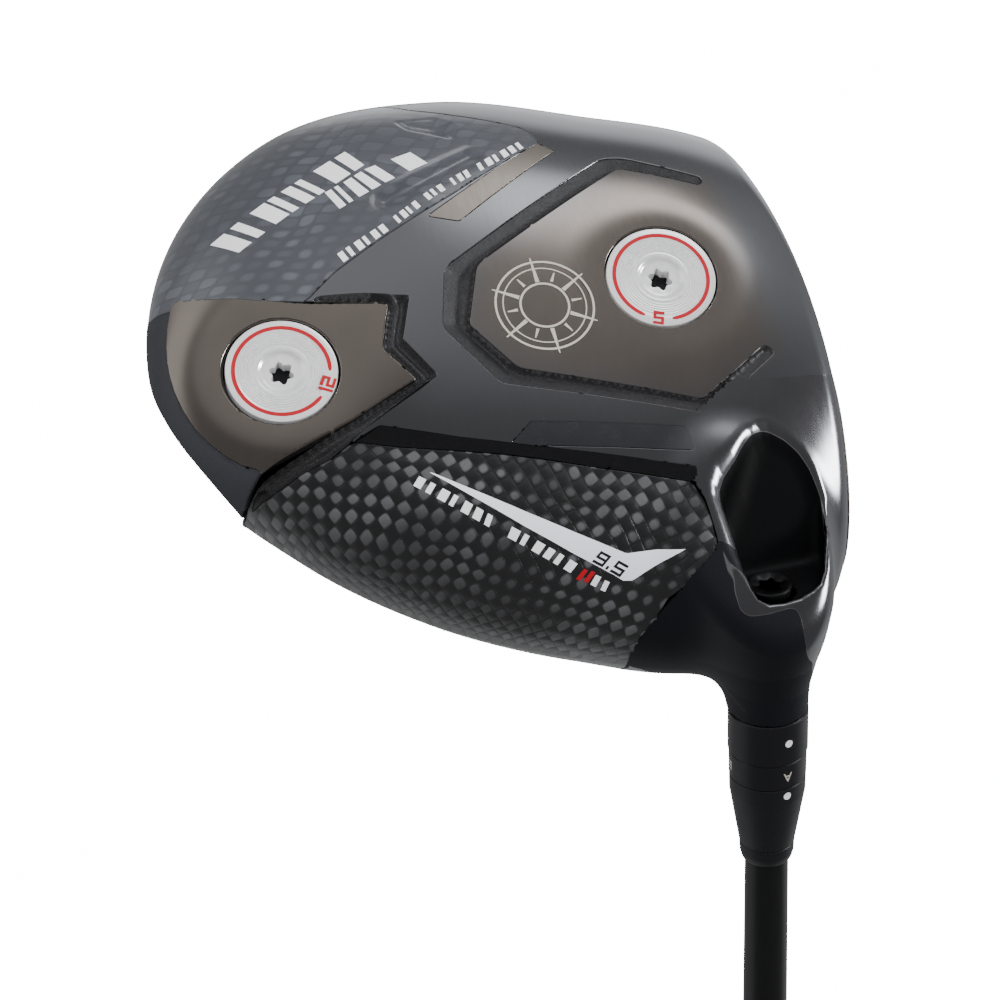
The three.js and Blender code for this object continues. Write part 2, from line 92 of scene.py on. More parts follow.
def face_y(x, z):
    return 25.9 - (z - 8) * math.tan(LOFT) - (x - 44.5) ** 2 / 600 - (z - 32) ** 2 / 600


def plan_polar(x, y):
    """The direction of a plan point from the head's centre, and its share of the way to the rim."""
    dx, dy = x - CENTRE[0], y - CENTRE[1]
    theta = np.arctan2(dy, dx)
    return theta, np.hypot(dx, dy) / rim_radius(theta)


def powers(sole):
    """The two powers of the dome's profile, on the sole's side or the crown's."""
    return [np.where(sole, low, high) for low, high in zip(SOLE_POWERS, CROWN_POWERS)]


def soft_min(a, b, k):
    h = np.clip(0.5 + 0.5 * (b - a) / k, 0, 1)
    return b * (1 - h) + a * h - k * h * (1 - h)


def soft_max(a, b, k):
    return -soft_min(-a, -b, k)


def dome(p):
    x, y, z = p[..., 0], p[..., 1], p[..., 2]
    dx, dy = x - CENTRE[0], y - CENTRE[1]
    rho = np.maximum(np.hypot(dx, dy), 1e-6)
    theta = np.arctan2(dy, dx)
    radius = rim_radius(theta)
    slope = (rim_radius(theta + 0.01) - rim_radius(theta - 0.01)) / 0.02
    rim, top = rim_height(theta), crown_top(y)
    sole = z < rim
    span = np.where(sole, rim, top - rim)
    u, v = rho / radius, np.abs(z - rim) / span
    m, n = powers(sole)
    across = m * u ** (m - 1) / radius * np.sqrt(1 + (slope / radius) ** 2)
    along = n * v ** (n - 1) / span
    return (u ** m + v ** n - 1) / np.maximum(np.hypot(across, along), 1e-4)


def axis_parts(p):
    """Distance up the shaft's axis from the sole, and the two directions across it."""
    return p @ AXIS, p @ ACROSS, p[..., 1]


def neck(p):
    s, across, y = axis_parts(p)
    fuller = 0.45 * np.exp(-((s - 25) / 8) ** 2)
    side = (np.hypot(across, y - fuller) - np.interp(s, NECK_REACH, NECK_RADIUS) - fuller) * 0.97
    sole = 4.6 + 0.09 * (23 - p[..., 0]) - p[..., 2]
    return soft_max(soft_max(side, sole, 5), s - HOSEL_TOP, 0.3)


def head(p):
    body = soft_max(dome(p), p[..., 1] - face_y(p[..., 0], p[..., 2]), 3.5)
    return soft_min(body, neck(p), 9)


RECESS = [(21, 7.2), (19.9, 10.4), (18, 12.8), (15.5, 14.2), (12, 14.9), (4.1, 12.4), (-1.6, 10.0),
          (-3.6, 8.4), (-4.6, 6.6), (-5.4, 3.8), (-5.7, 0.6), (-5.5, -2.2), (-4.5, -3.8), (-3.2, -4.3),
          (-1, -4.4), (3.4, -4.9), (6.8, -5.3), (9.6, -5.6), (10.8, -5.3), (12.5, -4), (15, -0.9),
          (19.3, 3.3), (20.6, 5.3)]


def nearest_on(px, py, a, b):
    """The point of the segment from a to b that lies nearest each point, and its squared distance."""
    ex, ey = b - a
    wx, wy = px - a[0], py - a[1]
    t = np.clip((wx * ex + wy * ey) / max(ex * ex + ey * ey, 1e-12), 0, 1)
    return a[0] + ex * t, a[1] + ey * t, (wx - ex * t) ** 2 + (wy - ey * t) ** 2


def sides_of(points):
    return zip(points, np.roll(points, -1, 0))


def polygon_distance(px, py, outline):
    """Signed distance to a closed outline, negative inside."""
    points = np.asarray(outline, float)
    best = np.full(px.shape, 1e9)
    inside = np.zeros(px.shape, bool)
    for a, b in sides_of(points):
        best = np.minimum(best, nearest_on(px, py, a, b)[2])
        ex, ey = b - a
        crosses = (a[1] > py) != (b[1] > py)
        if ey != 0:
            inside ^= crosses & (px < ex * (py - a[1]) / ey + a[0])
    return np.where(inside, -1, 1) * np.sqrt(best)


WELL_END = 14.2
BORE_RADIUS = 4.7
BORE_END = 17.9


def recess(p):
    s, across, y = axis_parts(p)
    sides = polygon_distance(across, y, RECESS)
    ramp = (p[..., 2] - 3.7 - 0.5 * (23 - p[..., 0])) * 0.9
    well = soft_max(soft_max(sides, ramp, 3), s - WELL_END, 1.5)
    bore = np.maximum(np.hypot(across, y) - BORE_RADIUS, s - BORE_END)
    return np.minimum(well, bore)


EDGE_SHARP = 1.3
EDGE_ROUND = 3.6


def edge_rounding(p):
    """The recess's edge is sharp towards the face and well rounded towards the heel panel."""
    to_heel = np.clip((4 - p[..., 1]) / 9, 0, 1)
    off_grip = np.clip((p @ ACROSS + 4) / 6, 0, 1)
    return EDGE_SHARP + (EDGE_ROUND - EDGE_SHARP) * to_heel * off_grip


def heel(p):
    return soft_max(head(p), -recess(p), edge_rounding(p))


def gradient(field, p, step=0.02):
    return np.stack([field(p + step * e) - field(p - step * e) for e in np.eye(3)], -1) / (2 * step)


def unit(v):
    return v / np.maximum(np.linalg.norm(v, axis=-1, keepdims=True), 1e-9)


def settle(field, p, steps=3):
    for _ in range(steps):
        g = gradient(field, p)
        p = p - g * (field(p) / np.maximum((g * g).sum(-1), 1e-3))[:, None]
    return p, unit(gradient(field, p))


# ---- meshes ---------------------------------------------------------------------------------
def add_mesh(name, vertices, faces, material, place=HEAD, normals=None, smooth=True, attributes=None):
    """vertices in millimetres in the frame that place puts in the world."""
    mesh = bpy.data.meshes.new(name)
    mesh.from_pydata((np.asarray(vertices, float) * MM).tolist(), [], [list(map(int, f)) for f in faces])
    mesh.materials.append(material)
    mesh.polygons.foreach_set("use_smooth", [smooth] * len(mesh.polygons))
    for key, values in (attributes or {}).items():
        mesh.attributes.new(key, "FLOAT", "POINT").data.foreach_set("value", np.asarray(values, np.float32))
    mesh.update()
    if normals is not None:
        mesh.normals_split_custom_set_from_vertices(np.asarray(normals, float).tolist())
    obj = bpy.data.objects.new(name, mesh)
    bpy.context.scene.collection.objects.link(obj)
    obj.matrix_world = place
    return obj


def fit_out(obj, body, slot, *nodes):
    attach(obj, body)
    if nodes:
        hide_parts(*nodes)
    return obj


def wound(tris, p, n):
    """Triangles turned so that most of them face the way the normals n point."""
    corner = p[tris]
    face = np.cross(corner[:, 1] - corner[:, 0], corner[:, 2] - corner[:, 0])
    return tris[:, ::-1] if np.median(np.einsum("ij,ij->i", face, n[tris[:, 0]])) < 0 else tris


def vertex_normals(p, tris):
    n = np.zeros_like(p)
    face = np.cross(p[tris[:, 1]] - p[tris[:, 0]], p[tris[:, 2]] - p[tris[:, 0]])
    for k in range(3):
        np.add.at(n, tris[:, k], face)
    return unit(n)


def edged_skin(name, p, n, tris, material, edge=0.25, drop=0.2, depth=1.3, place=HEAD,
               facet=False, attributes=None):
    """A skin with a rounded edge and a wall that goes down from its border."""
    used, flat = np.unique(tris, return_inverse=True)
    tris = flat.reshape(-1, 3)
    edge = np.broadcast_to(edge, (len(p),))[used]
    p, n = p[used].copy(), n[used]
    shading = n
    if facet:
        shading = vertex_normals(p, tris)
        weak = (shading * n).sum(1) < 0.35
        shading[weak] = n[weak]
    sides = np.concatenate([tris[:, [0, 1]], tris[:, [1, 2]], tris[:, [2, 0]]])
    count = len(p)
    key = sides[:, 0] * count + sides[:, 1]
    back = sides[:, 1] * count + sides[:, 0]
    border = sides[~np.isin(key, back)]
    inward = np.zeros_like(p)
    along = p[border[:, 1]] - p[border[:, 0]]
    side = unit(np.cross(n[border[:, 0]], along))
    for k in (0, 1):
        np.add.at(inward, border[:, k], side)
    ring = np.unique(border)
    b = unit(inward[ring])
    base, up = p[ring], n[ring]
    p[ring] = base + b * edge[ring][:, None]
    where = np.full(count, -1)
    where[ring] = np.arange(len(ring))
    rows = [base - up * drop, base - up * (drop + 0.02), base - up * (drop + depth)]
    lean = [unit(up * 0.35 - b), -b, -b]
    vertices = np.concatenate([p] + rows)
    normals = np.concatenate([shading] + lean)
    i, j = border[:, 0], border[:, 1]
    a, c = where[i], where[j]
    faces = tris.tolist()
    levels = [(i, j), (count + a, count + c), (count + len(ring) + a, count + len(ring) + c),
              (count + 2 * len(ring) + a, count + 2 * len(ring) + c)]
    for top, low in zip(levels, levels[1:]):
        faces += np.stack([top[0], low[0], low[1], top[1]], -1).tolist()
    extra = None
    if attributes:
        extra = {k: np.concatenate([v[used]] + [v[used][ring]] * 3) for k, v in attributes.items()}
    return add_mesh(name, vertices, faces, material, place, normals, attributes=extra)


def spun(name, rings, material, place, segments=96, crease=35, closed=False):
    """A body of revolution about z from (radius, height) rings; a radius may be a function of the angle."""
    angle = np.arange(segments) / segments * 2 * np.pi
    rows = []
    for radius, height in rings:
        r = radius(angle) if callable(radius) else np.full(segments, float(radius))
        rows.append(np.stack([r * np.cos(angle), r * np.sin(angle), np.full(segments, float(height))], -1))
    faces = []
    count = len(rows)
    index = np.arange(segments)
    after = (index + 1) % segments
    for k in range(count if closed else count - 1):
        low, high = k * segments, (k + 1) % count * segments
        faces += np.stack([low + index, low + after, high + after, high + index], -1).tolist()
    vertices = np.concatenate(rows)
    if not closed:
        for row, flip in ((0, True), (count - 1, False)):
            if np.abs(rows[row][:, :2]).max() > 1e-6:
                loop = list(range(row * segments, (row + 1) * segments))
                faces.append(loop[::-1] if flip else loop)
    obj = add_mesh(name, vertices, faces, material, place)
    mesh = obj.data
    bm = bmesh.new()
    bm.from_mesh(mesh)
    bmesh.ops.remove_doubles(bm, verts=bm.verts, dist=1e-7)
    bmesh.ops.recalc_face_normals(bm, faces=bm.faces)
    for e in bm.edges:
        if len(e.link_faces) == 2 and e.calc_face_angle(0) > math.radians(crease):
            e.smooth = False
    bm.to_mesh(mesh)
    bm.free()
    return obj


def lobed(radius, depth=0.14, lobes=6):
    return lambda angle: radius * (1 - depth + depth * np.cos(lobes * angle))


# ---- the head unrolled: polar, with arc length from the middle of the sole as the radius ------
TURNS = 240
STEPS = 500
table_theta = np.arange(TURNS + 1) / TURNS * 2 * np.pi
table_w = np.linspace(0, 2, STEPS)


def dome_point(theta, w):
    """w runs from 0 at the middle of the sole, over 1 at the rim, to 2 at the middle of the crown."""
    sole = w <= 1
    u = np.clip(np.where(sole, w, 2 - w), 0, 1)
    m, n = powers(sole)
    rise = (1 - u ** m) ** (1 / n)
    rho = rim_radius(theta) * u
    x, y = CENTRE[0] + rho * np.cos(theta), CENTRE[1] + rho * np.sin(theta)
    rim = rim_height(theta)
    z = np.where(sole, rim * (1 - rise), rim + (crown_top(y) - rim) * rise)
    return x, y, z


grid_theta, grid_w = np.meshgrid(table_theta, table_w, indexing="ij")
table_x, table_y, table_z = dome_point(grid_theta, grid_w)
step_length = np.hypot(np.hypot(np.diff(table_x), np.diff(table_y)), np.diff(table_z))
table_t = np.concatenate([np.zeros((TURNS + 1, 1)), np.cumsum(step_length, 1)], 1)
ARC_STEP = 0.25
ARCS = np.arange(0, table_t.max(), ARC_STEP)
table_back = np.stack([np.interp(ARCS, row, table_w) for row in table_t])


def lookup(table, theta, column):
    row = (theta / (2 * np.pi)) % 1.0 * TURNS
    i = np.floor(row).astype(int)
    f = row - i
    j = np.clip(np.floor(column).astype(int), 0, table.shape[1] - 2)
    g = np.clip(column - j, 0, 1)
    low = table[i, j] * (1 - g) + table[i, j + 1] * g
    high = table[i + 1, j] * (1 - g) + table[i + 1, j + 1] * g
    return low * (1 - f) + high * f


def flat_of(theta, w):
    t = lookup(table_t, theta, w / 2 * (STEPS - 1))
    return np.stack([t * np.cos(theta), t * np.sin(theta)], -1)


def unrolled(x, y, z=None, crown=False):
    """Where a point of the head's surface lies on the unrolled head."""
    x, y = np.asarray(x, float), np.asarray(y, float)
    theta, u = plan_polar(x, y)
    u = np.clip(u, 0, 1)
    w = np.where(crown, 2 - u, u)
    if z is not None:
        z = np.asarray(z, float)
        rim = rim_height(theta)
        low = np.clip(1 - z / rim, 0, 1)
        high = np.clip((z - rim) / (crown_top(y) - rim), 0, 1)
        (m, n), (crown_m, crown_n) = SOLE_POWERS, CROWN_POWERS
        by_height = np.where(z < rim, (1 - low ** n) ** (1 / m), 2 - (1 - high ** crown_n) ** (1 / crown_m))
        w = np.where(np.isnan(z), w, by_height)
    return flat_of(theta, w)


def rounded(points, radius):
    """An outline with its corners rounded, and a point at least every 0.5."""
    points = [np.asarray(p, float) for p in points]
    points = [p for i, p in enumerate(points) if np.abs(p - points[i - 1]).max() > 1e-3]
    out = []
    count = len(points)
    for i, p in enumerate(points):
        a, b = points[i - 1] - p, points[(i + 1) % count] - p
        la, lb = np.linalg.norm(a), np.linalg.norm(b)
        r = min(radius, 0.45 * la, 0.45 * lb)
        p0, p1 = p + a / la * r, p + b / lb * r
        for t in np.linspace(0, 1, 7):
            out.append((1 - t) ** 2 * p0 + 2 * t * (1 - t) * p + t * t * p1)
    dense = []
    for a, b in zip(out, out[1:] + out[:1]):
        n = max(1, int(np.linalg.norm(b - a) / 0.5))
        dense += [a + (b - a) * k / n for k in range(n)]
    return np.array(dense)


def rim_points(first, last, w, count=14):
    """Points along the rim, between two angles in degrees."""
    theta = np.radians(np.linspace(first, last, count))
    return [flat_of(t, np.array(w)) for t in theta]


def placed(p):
    """A plan point of the sole, or a point with its height, on the unrolled head."""
    return unrolled(p[0], p[1], p[2] if len(p) > 2 else math.nan)


def head_outline(outline, radius=0.6, after=()):
    return rounded([placed(p) for p in outline] + list(after), radius)


def cells_near(a, b, reach, origin, step, shape):
    """The block of a square grid within reach of the segment from a to b."""
    low = np.floor((np.minimum(a, b) - reach - origin) / step).astype(int)
    high = np.ceil((np.maximum(a, b) + reach - origin) / step).astype(int) + 1
    (i0, j0), (i1, j1) = np.maximum(low, 0), np.minimum(high, shape)
    return (slice(i0, i1), slice(j0, j1)) if i0 < i1 and j0 < j1 else None


def snap(grid_x, grid_y, shape, origin, step, outlines):
    """Moves the grid points that lie near an outline onto it, where no later outline covers it."""
    px, py = grid_x.copy(), grid_y.copy()
    best = np.full(shape, (0.5 * step) ** 2)
    hit = np.zeros(shape, bool)
    for k, outline in enumerate(outlines):
        middle = (outline + np.roll(outline, -1, 0)) / 2
        shown = np.ones(len(outline), bool)
        for later in outlines[k + 1:] if len(outlines) > 1 else ():
            shown &= ~within(middle[:, 0], middle[:, 1], later)
        for a, b in zip(outline[shown], np.roll(outline, -1, 0)[shown]):
            box = cells_near(a, b, step, origin, step, shape)
            if box is None or (a == b).all():
                continue
            x, y, d = nearest_on(grid_x[box], grid_y[box], a, b)
            closer = d < best[box]
            px[box] = np.where(closer, x, px[box])
            py[box] = np.where(closer, y, py[box])
            best[box] = np.where(closer, d, best[box])
            hit[box] |= closer
    return px, py, hit


def grid_triangles(shape, hit):
    """Two triangles for each square, split along the diagonal whose ends are both on an outline."""
    index = np.arange(shape[0] * shape[1]).reshape(shape)
    a, b = index[:-1, :-1].ravel(), index[1:, :-1].ravel()
    c, d = index[1:, 1:].ravel(), index[:-1, 1:].ravel()
    snapped = hit.ravel()
    main = (snapped[a] & snapped[c])[:, None]
    first = np.where(main, np.stack([a, b, c], -1), np.stack([a, b, d], -1))
    second = np.where(main, np.stack([a, c, d], -1), np.stack([b, c, d], -1))
    return np.concatenate([first, second])


def within(px, py, outline):
    low, high = outline.min(0), outline.max(0)
    near = (px > low[0]) & (px < high[0]) & (py > low[1]) & (py < high[1])
    result = np.zeros(px.shape, bool)
    result[near] = polygon_distance(px[near], py[near], outline[::2]) < 0
    return result


# ---- materials --------------------------------------------------------------------------------
class Look:
    """A procedural material; coordinates are the piece's own, in millimetres."""

    def __init__(self, name, color, metallic=0.0, roughness=0.4, **sockets):
        self.material = bpy.data.materials.new(name)
        self.material.use_nodes = True
        self.nodes = self.material.node_tree.nodes
        self.links = self.material.node_tree.links
        self.shader = self.nodes["Principled BSDF"]
        self.shader.inputs["Base Color"].default_value = (*color, 1)
        self.shader.inputs["Metallic"].default_value = metallic
        self.shader.inputs["Roughness"].default_value = roughness
        for key, value in sockets.items():
            self.shader.inputs[key.replace("_", " ")].default_value = value
        place = self.nodes.new("ShaderNodeTexCoord")
        scale = self.nodes.new("ShaderNodeMapping")
        scale.inputs["Scale"].default_value = (1 / MM,) * 3
        self.links.new(place.outputs["Object"], scale.inputs["Vector"])
        self.place = scale.outputs["Vector"]

    def math(self, operation, *values):
        node = self.nodes.new("ShaderNodeMath")
        node.operation = operation
        for socket, value in zip(node.inputs, values):
            self.feed(socket, value)
        return node.outputs[0]

    def feed(self, socket, value):
        if isinstance(value, bpy.types.NodeSocket):
            self.links.new(value, socket)
        else:
            socket.default_value = value

    def mapped(self, scale=(1, 1, 1), turn=(0, 0, 0), shift=(0, 0, 0)):
        node = self.nodes.new("ShaderNodeMapping")
        node.inputs["Scale"].default_value = scale
        node.inputs["Rotation"].default_value = turn
        node.inputs["Location"].default_value = shift
        self.links.new(self.place, node.inputs["Vector"])
        return node.outputs["Vector"]

    def noise(self, scale, detail=3, vector=None):
        node = self.nodes.new("ShaderNodeTexNoise")
        node.inputs["Scale"].default_value = scale
        node.inputs["Detail"].default_value = detail
        self.links.new(vector or self.place, node.inputs["Vector"])
        return node.outputs["Fac"]

    def polish(self):
        """The slow cloud and the fine streaks of polished metal."""
        return self.noise(0.05, 4), self.noise(1.0, 3, self.mapped((0.25, 2.2, 0.6), (0, 0, 0.35)))

    def band(self, value, low, high, out_low=0.0, out_high=1.0):
        node = self.nodes.new("ShaderNodeMapRange")
        node.clamp = True
        for key, number in zip(("From Min", "From Max", "To Min", "To Max"), (low, high, out_low, out_high)):
            node.inputs[key].default_value = number
        self.feed(node.inputs["Value"], value)
        return node.outputs["Result"]

    def mix(self, factor, a, b):
        node = self.nodes.new("ShaderNodeMix")
        node.data_type = "RGBA"
        self.feed(node.inputs[0], factor)
        for socket, color in ((node.inputs[6], a), (node.inputs[7], b)):
            self.feed(socket, color if isinstance(color, bpy.types.NodeSocket) else (*color, 1))
        return node.outputs[2]

    def attribute(self, name):
        node = self.nodes.new("ShaderNodeAttribute")
        node.attribute_name = name
        return node.outputs["Fac"]

    def bump(self, height, strength, distance=0.1):
        node = self.nodes.new("ShaderNodeBump")
        node.inputs["Strength"].default_value = strength
        node.inputs["Distance"].default_value = distance * MM
        self.links.new(height, node.inputs["Height"])
        self.links.new(node.outputs["Normal"], self.shader.inputs["Normal"])

    def color(self, value):
        self.links.new(value, self.shader.inputs["Base Color"])

    def rough(self, value):
        self.links.new(value, self.shader.inputs["Roughness"])

    def metal(self, value):
        self.links.new(value, self.shader.inputs["Metallic"])


NICKEL = (0.195, 0.195, 0.205)
NICKEL_DARK = (0.165, 0.163, 0.170)


def polished(name, color, dark, rough, cold=None):
    look = Look(name, color, 1.0, rough[0])
    cloud, streak = look.polish()
    tint = look.mix(look.band(cloud, 0.35, 0.65), dark, color)
    if cold:
        tint = look.mix(look.attribute("warm"), cold, tint)
    look.color(tint)
    look.rough(look.band(streak, 0.3, 0.7, *rough))
    look.bump(cloud, 0.02, 0.05)
    return look.material


def satin(name, color, light, roughness=(0.4, 0.55), metallic=0.0, grain=4.0, bump=0.12, **sockets):
    look = Look(name, color, metallic, roughness[0], **sockets)
    grains = look.noise(grain, 4)
    look.color(look.mix(look.band(grains, 0.4, 0.75), color, light))
    look.rough(look.band(look.noise(0.3, 2), 0.3, 0.7, *roughness))
    look.bump(grains, bump, 0.05)
    return look.material


def woven(name, dark, light, pitch, degrees, squash=1.0, height=0.5, roughness=0.33, glint=0.0, laid=True):
    """Plain weave under clear lacquer: square tows that run alternately along and across, with the tows'
    sheen painted into the colour.
    """
    look = Look(name, dark, 0.0, roughness, Coat_Weight=1.0, Coat_Roughness=0.05)
    if laid:
        sheet = look.nodes.new("ShaderNodeCombineXYZ")
        look.links.new(look.attribute("u"), sheet.inputs[0])
        look.links.new(look.attribute("v"), sheet.inputs[1])
        look.place = sheet.outputs[0]
    wobble = look.noise(0.07, 1)
    cell = look.mapped((1 / pitch, squash / pitch, 1 / pitch), (0, 0, math.radians(degrees)))
    split = look.nodes.new("ShaderNodeSeparateXYZ")
    look.links.new(cell, split.inputs[0])
    sway = look.band(wobble, 0.2, 0.8, -0.5, 0.5)
    u = look.math("ADD", split.outputs[0], sway)
    v = look.math("ADD", split.outputs[1], sway)
    fu, fv = look.math("FRACT", u), look.math("FRACT", v)
    parity = look.math("MODULO", look.math("ABSOLUTE", look.math(
        "ADD", look.math("FLOOR", u), look.math("FLOOR", v))), 2.0)
    arch_u = look.math("SINE", look.math("MULTIPLY", fu, math.pi))
    arch_v = look.math("SINE", look.math("MULTIPLY", fv, math.pi))
    over = look.math("GREATER_THAN", parity, 0.5)
    under = look.math("SUBTRACT", 1.0, over)
    along = look.math("ADD", look.math("MULTIPLY", arch_u, over), look.math("MULTIPLY", arch_v, under))
    cross = look.math("ADD", look.math("MULTIPLY", arch_v, over), look.math("MULTIPLY", arch_u, under))
    crown = look.math("MULTIPLY", look.math("POWER", cross, 0.5), look.math("POWER", along, 0.6))
    thin = look.band(look.noise(0.045, 1, look.mapped(shift=(7, 19, 3))), 0.42, 0.6, 0.0, 0.42)
    # Painted sheen: the tops of the tows that run one way are painted lit, the other tows get only glint of
    # that, and noise patches shrink the lit parts.
    lit = look.band(look.math("SUBTRACT", crown, thin), 0.12, 0.5)
    shade = look.math("MULTIPLY", lit, look.band(over, 0, 1, glint, 1.0))
    patches = look.band(look.noise(0.06, 1, look.mapped(shift=(31, 7, 3))), 0.4, 0.62, 0.35, 1.0)
    fibre = look.band(look.noise(3.0, 2), 0.25, 0.75, 0.75, 1.0)
    # The painted sheen, times random patches and fibre grain, sets the mix of the dark and the light colour.
    sheen_and_grain = look.math("MULTIPLY", look.math("MULTIPLY", shade, patches), fibre)
    look.color(look.mix(sheen_and_grain, dark, light))
    look.bump(crown, height, 0.35)
    return look.material


def brushed(name, color, metallic, roughness, stretch, strength=0.06, **sockets):
    look = Look(name, color, metallic, roughness, **sockets)
    lines = look.noise(1.0, 3, look.mapped(stretch))
    look.rough(look.band(lines, 0.3, 0.7, roughness * 0.8, roughness * 1.25))
    look.bump(lines, strength, 0.03)
    shade = tuple(c * 0.8 for c in color)
    look.color(look.mix(lines, shade, color))
    return look.material


body_metal = polished("polished_body", (0.235, 0.205, 0.185), (0.205, 0.180, 0.163), (0.155, 0.185), NICKEL)
pod_metal = polished("polished_pod", (0.245, 0.212, 0.190), (0.215, 0.188, 0.168), (0.17, 0.20))
band_bronze = polished("satin_bronze", (0.31, 0.275, 0.245), (0.27, 0.24, 0.212), (0.28, 0.34))
band_grey = satin("satin_grey", (0.125, 0.130, 0.139), (0.135, 0.140, 0.150), (0.24, 0.28), 1.0, 4.0, 0.0)
groove_black = satin("groove_black", (0.010, 0.010, 0.011), (0.060, 0.060, 0.063), (0.35, 0.6), 0.2, 6.0,
                     0.6)
gloss_black = satin("gloss_black", (0.002, 0.002, 0.0025), (0.003, 0.003, 0.0035), (0.12, 0.2), 0.0, 1.0,
                    0.02)
skirt_black = satin("skirt_black", (0.024, 0.025, 0.030), (0.034, 0.035, 0.041), (0.5, 0.6), 0.0, 8.0, 0.12,
                    Specular_IOR_Level=0.3)
# The carbon panels carry the weave's sheen painted into their colour.
heel_carbon = woven("heel_carbon", (0.0025, 0.0025, 0.003), (0.085, 0.086, 0.091), 2.35, 20, 1.0, 0.7, 0.4)
toe_carbon = woven("toe_carbon", (0.036, 0.039, 0.047), (0.078, 0.084, 0.100), 2.3, 62, 0.55, 0.12, 0.4, 0.35)
crown_carbon = woven("crown_carbon", (0.010, 0.010, 0.011), (0.040, 0.040, 0.043), 2.4, 45, 1.0, 0.15,
                     laid=False)
foil = satin("silver_foil", (0.82, 0.86, 0.93), (0.87, 0.90, 0.96), (0.3, 0.4), 0.1, 5.0, 0.04)
ink_white = satin("ink_white", (0.80, 0.80, 0.82), (0.88, 0.88, 0.90), (0.4, 0.5), 0.0, 5.0, 0.03)
ink_cream = satin("etched_cream", (0.50, 0.46, 0.40), (0.62, 0.58, 0.51), (0.35, 0.45), 0.3, 5.0, 0.05)
ink_red = satin("ink_red", (0.34, 0.003, 0.009), (0.42, 0.005, 0.014), (0.3, 0.4), 0.0, 4.0, 0.03)
ink_black = satin("ink_black", (0.004, 0.004, 0.0045), (0.007, 0.007, 0.0075), (0.4, 0.5), 0.0, 5.0,
                  0.03)
anodised = brushed("anodised_black", (0.014, 0.014, 0.016), 0.5, 0.32, (0.15, 0.15, 9.0))
sleeve_black = satin("sleeve_black", (0.006, 0.006, 0.007), (0.010, 0.010, 0.012), (0.34, 0.44), 0.0, 6.0,
                     0.05, Specular_IOR_Level=0.3)
shaft_paint = brushed("shaft_paint", (0.005, 0.005, 0.0055), 0.0, 0.30, (3, 3, 0.2), 0.03,
                      Specular_IOR_Level=0.3)
steel_dark = brushed("oxide_steel", (0.035, 0.035, 0.037), 1.0, 0.34, (2, 2, 2))
# The turned aluminium is near-white and half diffuse: its own pale colour, brightened as a painted reflection
# of the lamps that its grooves spread.
aluminium_with_sheen = brushed("turned_aluminium", (0.98, 0.98, 0.99), 0.5, 0.2, (1.5, 1.5, 1.5), 0.02)
face_metal = brushed("face_metal", (0.17, 0.16, 0.15), 1.0, 0.36, (0.2, 4, 4.0), 0.1)
nylon = satin("black_nylon", (0.012, 0.012, 0.013), (0.02, 0.02, 0.022), (0.5, 0.6), 0.0, 8.0, 0.1)
rubber = satin("grip_rubber", (0.012, 0.012, 0.012), (0.024, 0.024, 0.024), (0.7, 0.85), 0.0, 1.2, 0.5)
tape = satin("grip_tape", (0.5, 0.45, 0.36), (0.56, 0.51, 0.42), (0.8, 0.9), 0.0, 2.0, 0.2)


def heel_look():
    """The heel casting: polished near the screw recess, matte around the hosel, and darkened inside the
    recess below a given depth as painted shade.
    """
    look = Look("heel_metal", NICKEL, 1.0, 0.2, Specular_IOR_Level=0.15)
    matte, shade_depth = look.attribute("matte"), look.attribute("shade_depth")
    is_matte = look.band(matte, -0.04, 0.04)
    # Painted shade: past a given depth into the screw recess the metal's colour gives way to dark paint.
    recess_shade = look.band(shade_depth, 0.5, 0.62)
    black_paint_and_shade = look.math("MAXIMUM", is_matte, recess_shade)
    cloud, streak = look.polish()
    grain = look.noise(8.0, 4)
    metal = look.mix(look.band(cloud, 0.35, 0.65), NICKEL_DARK, NICKEL)
    paint = look.mix(grain, (0.005, 0.005, 0.0065), (0.008, 0.008, 0.0105))
    # More painted shade: the recess's paint is darker still than the matte paint.
    paint = look.mix(recess_shade, paint, (0.0012, 0.0012, 0.0015))
    look.color(look.mix(black_paint_and_shade, metal, paint))
    look.metal(look.math("SUBTRACT", 1.0, black_paint_and_shade))
    smooth = look.band(streak, 0.3, 0.7, 0.155, 0.185)
    mixed = look.math("ADD", look.math("MULTIPLY", smooth, look.math("SUBTRACT", 1.0, black_paint_and_shade)),
                      look.math("MULTIPLY", 0.46, black_paint_and_shade))
    look.rough(mixed)
    step = look.band(matte, -0.12, 0.12, 0.0, 0.6)
    dust = look.math("MULTIPLY", grain, look.math("MULTIPLY", 0.5, black_paint_and_shade))
    look.bump(look.math("ADD", dust, step), 0.25, 0.1)
    return look.material


heel_metal = heel_look()


# ---- outlines on the head --------------------------------------------------------------------
GROOVE = [(76.4, 11.2), (83.3, -3.3), (83.7, -7.4), (64.6, -44.6), (52.4, -48.3), (39.1, -40.7),
          (25.8, -3.6), (36.2, 13.0), (38.0, 11.6), (28.6, -3.9), (41.3, -36.8), (51.9, -43.4),
          (64.2, -38.4), (80.9, -5), (74.6, 10.2)]
POD = [(73.8, -92.9, 12.5), (70.1, -87.3), (67.1, -80.7), (64, -72), (61.9, -64.8), (59.3, -56.8),
       (56.5, -58.1), (52.1, -59.8), (50.4, -60), (43, -55.8), (40.7, -62.6), (38.3, -69.3), (35.7, -78.8),
       (34.2, -86.5, 13.8), (35, -87.3, 13.9), (36.6, -89.6), (39, -91.9), (42, -94), (46, -96),
       (50.4, -97.2), (54.8, -97.7), (58.5, -97.7), (62.2, -97.3), (65.7, -96.6), (69.2, -95.6),
       (73.2, -93.9, 13.4)]
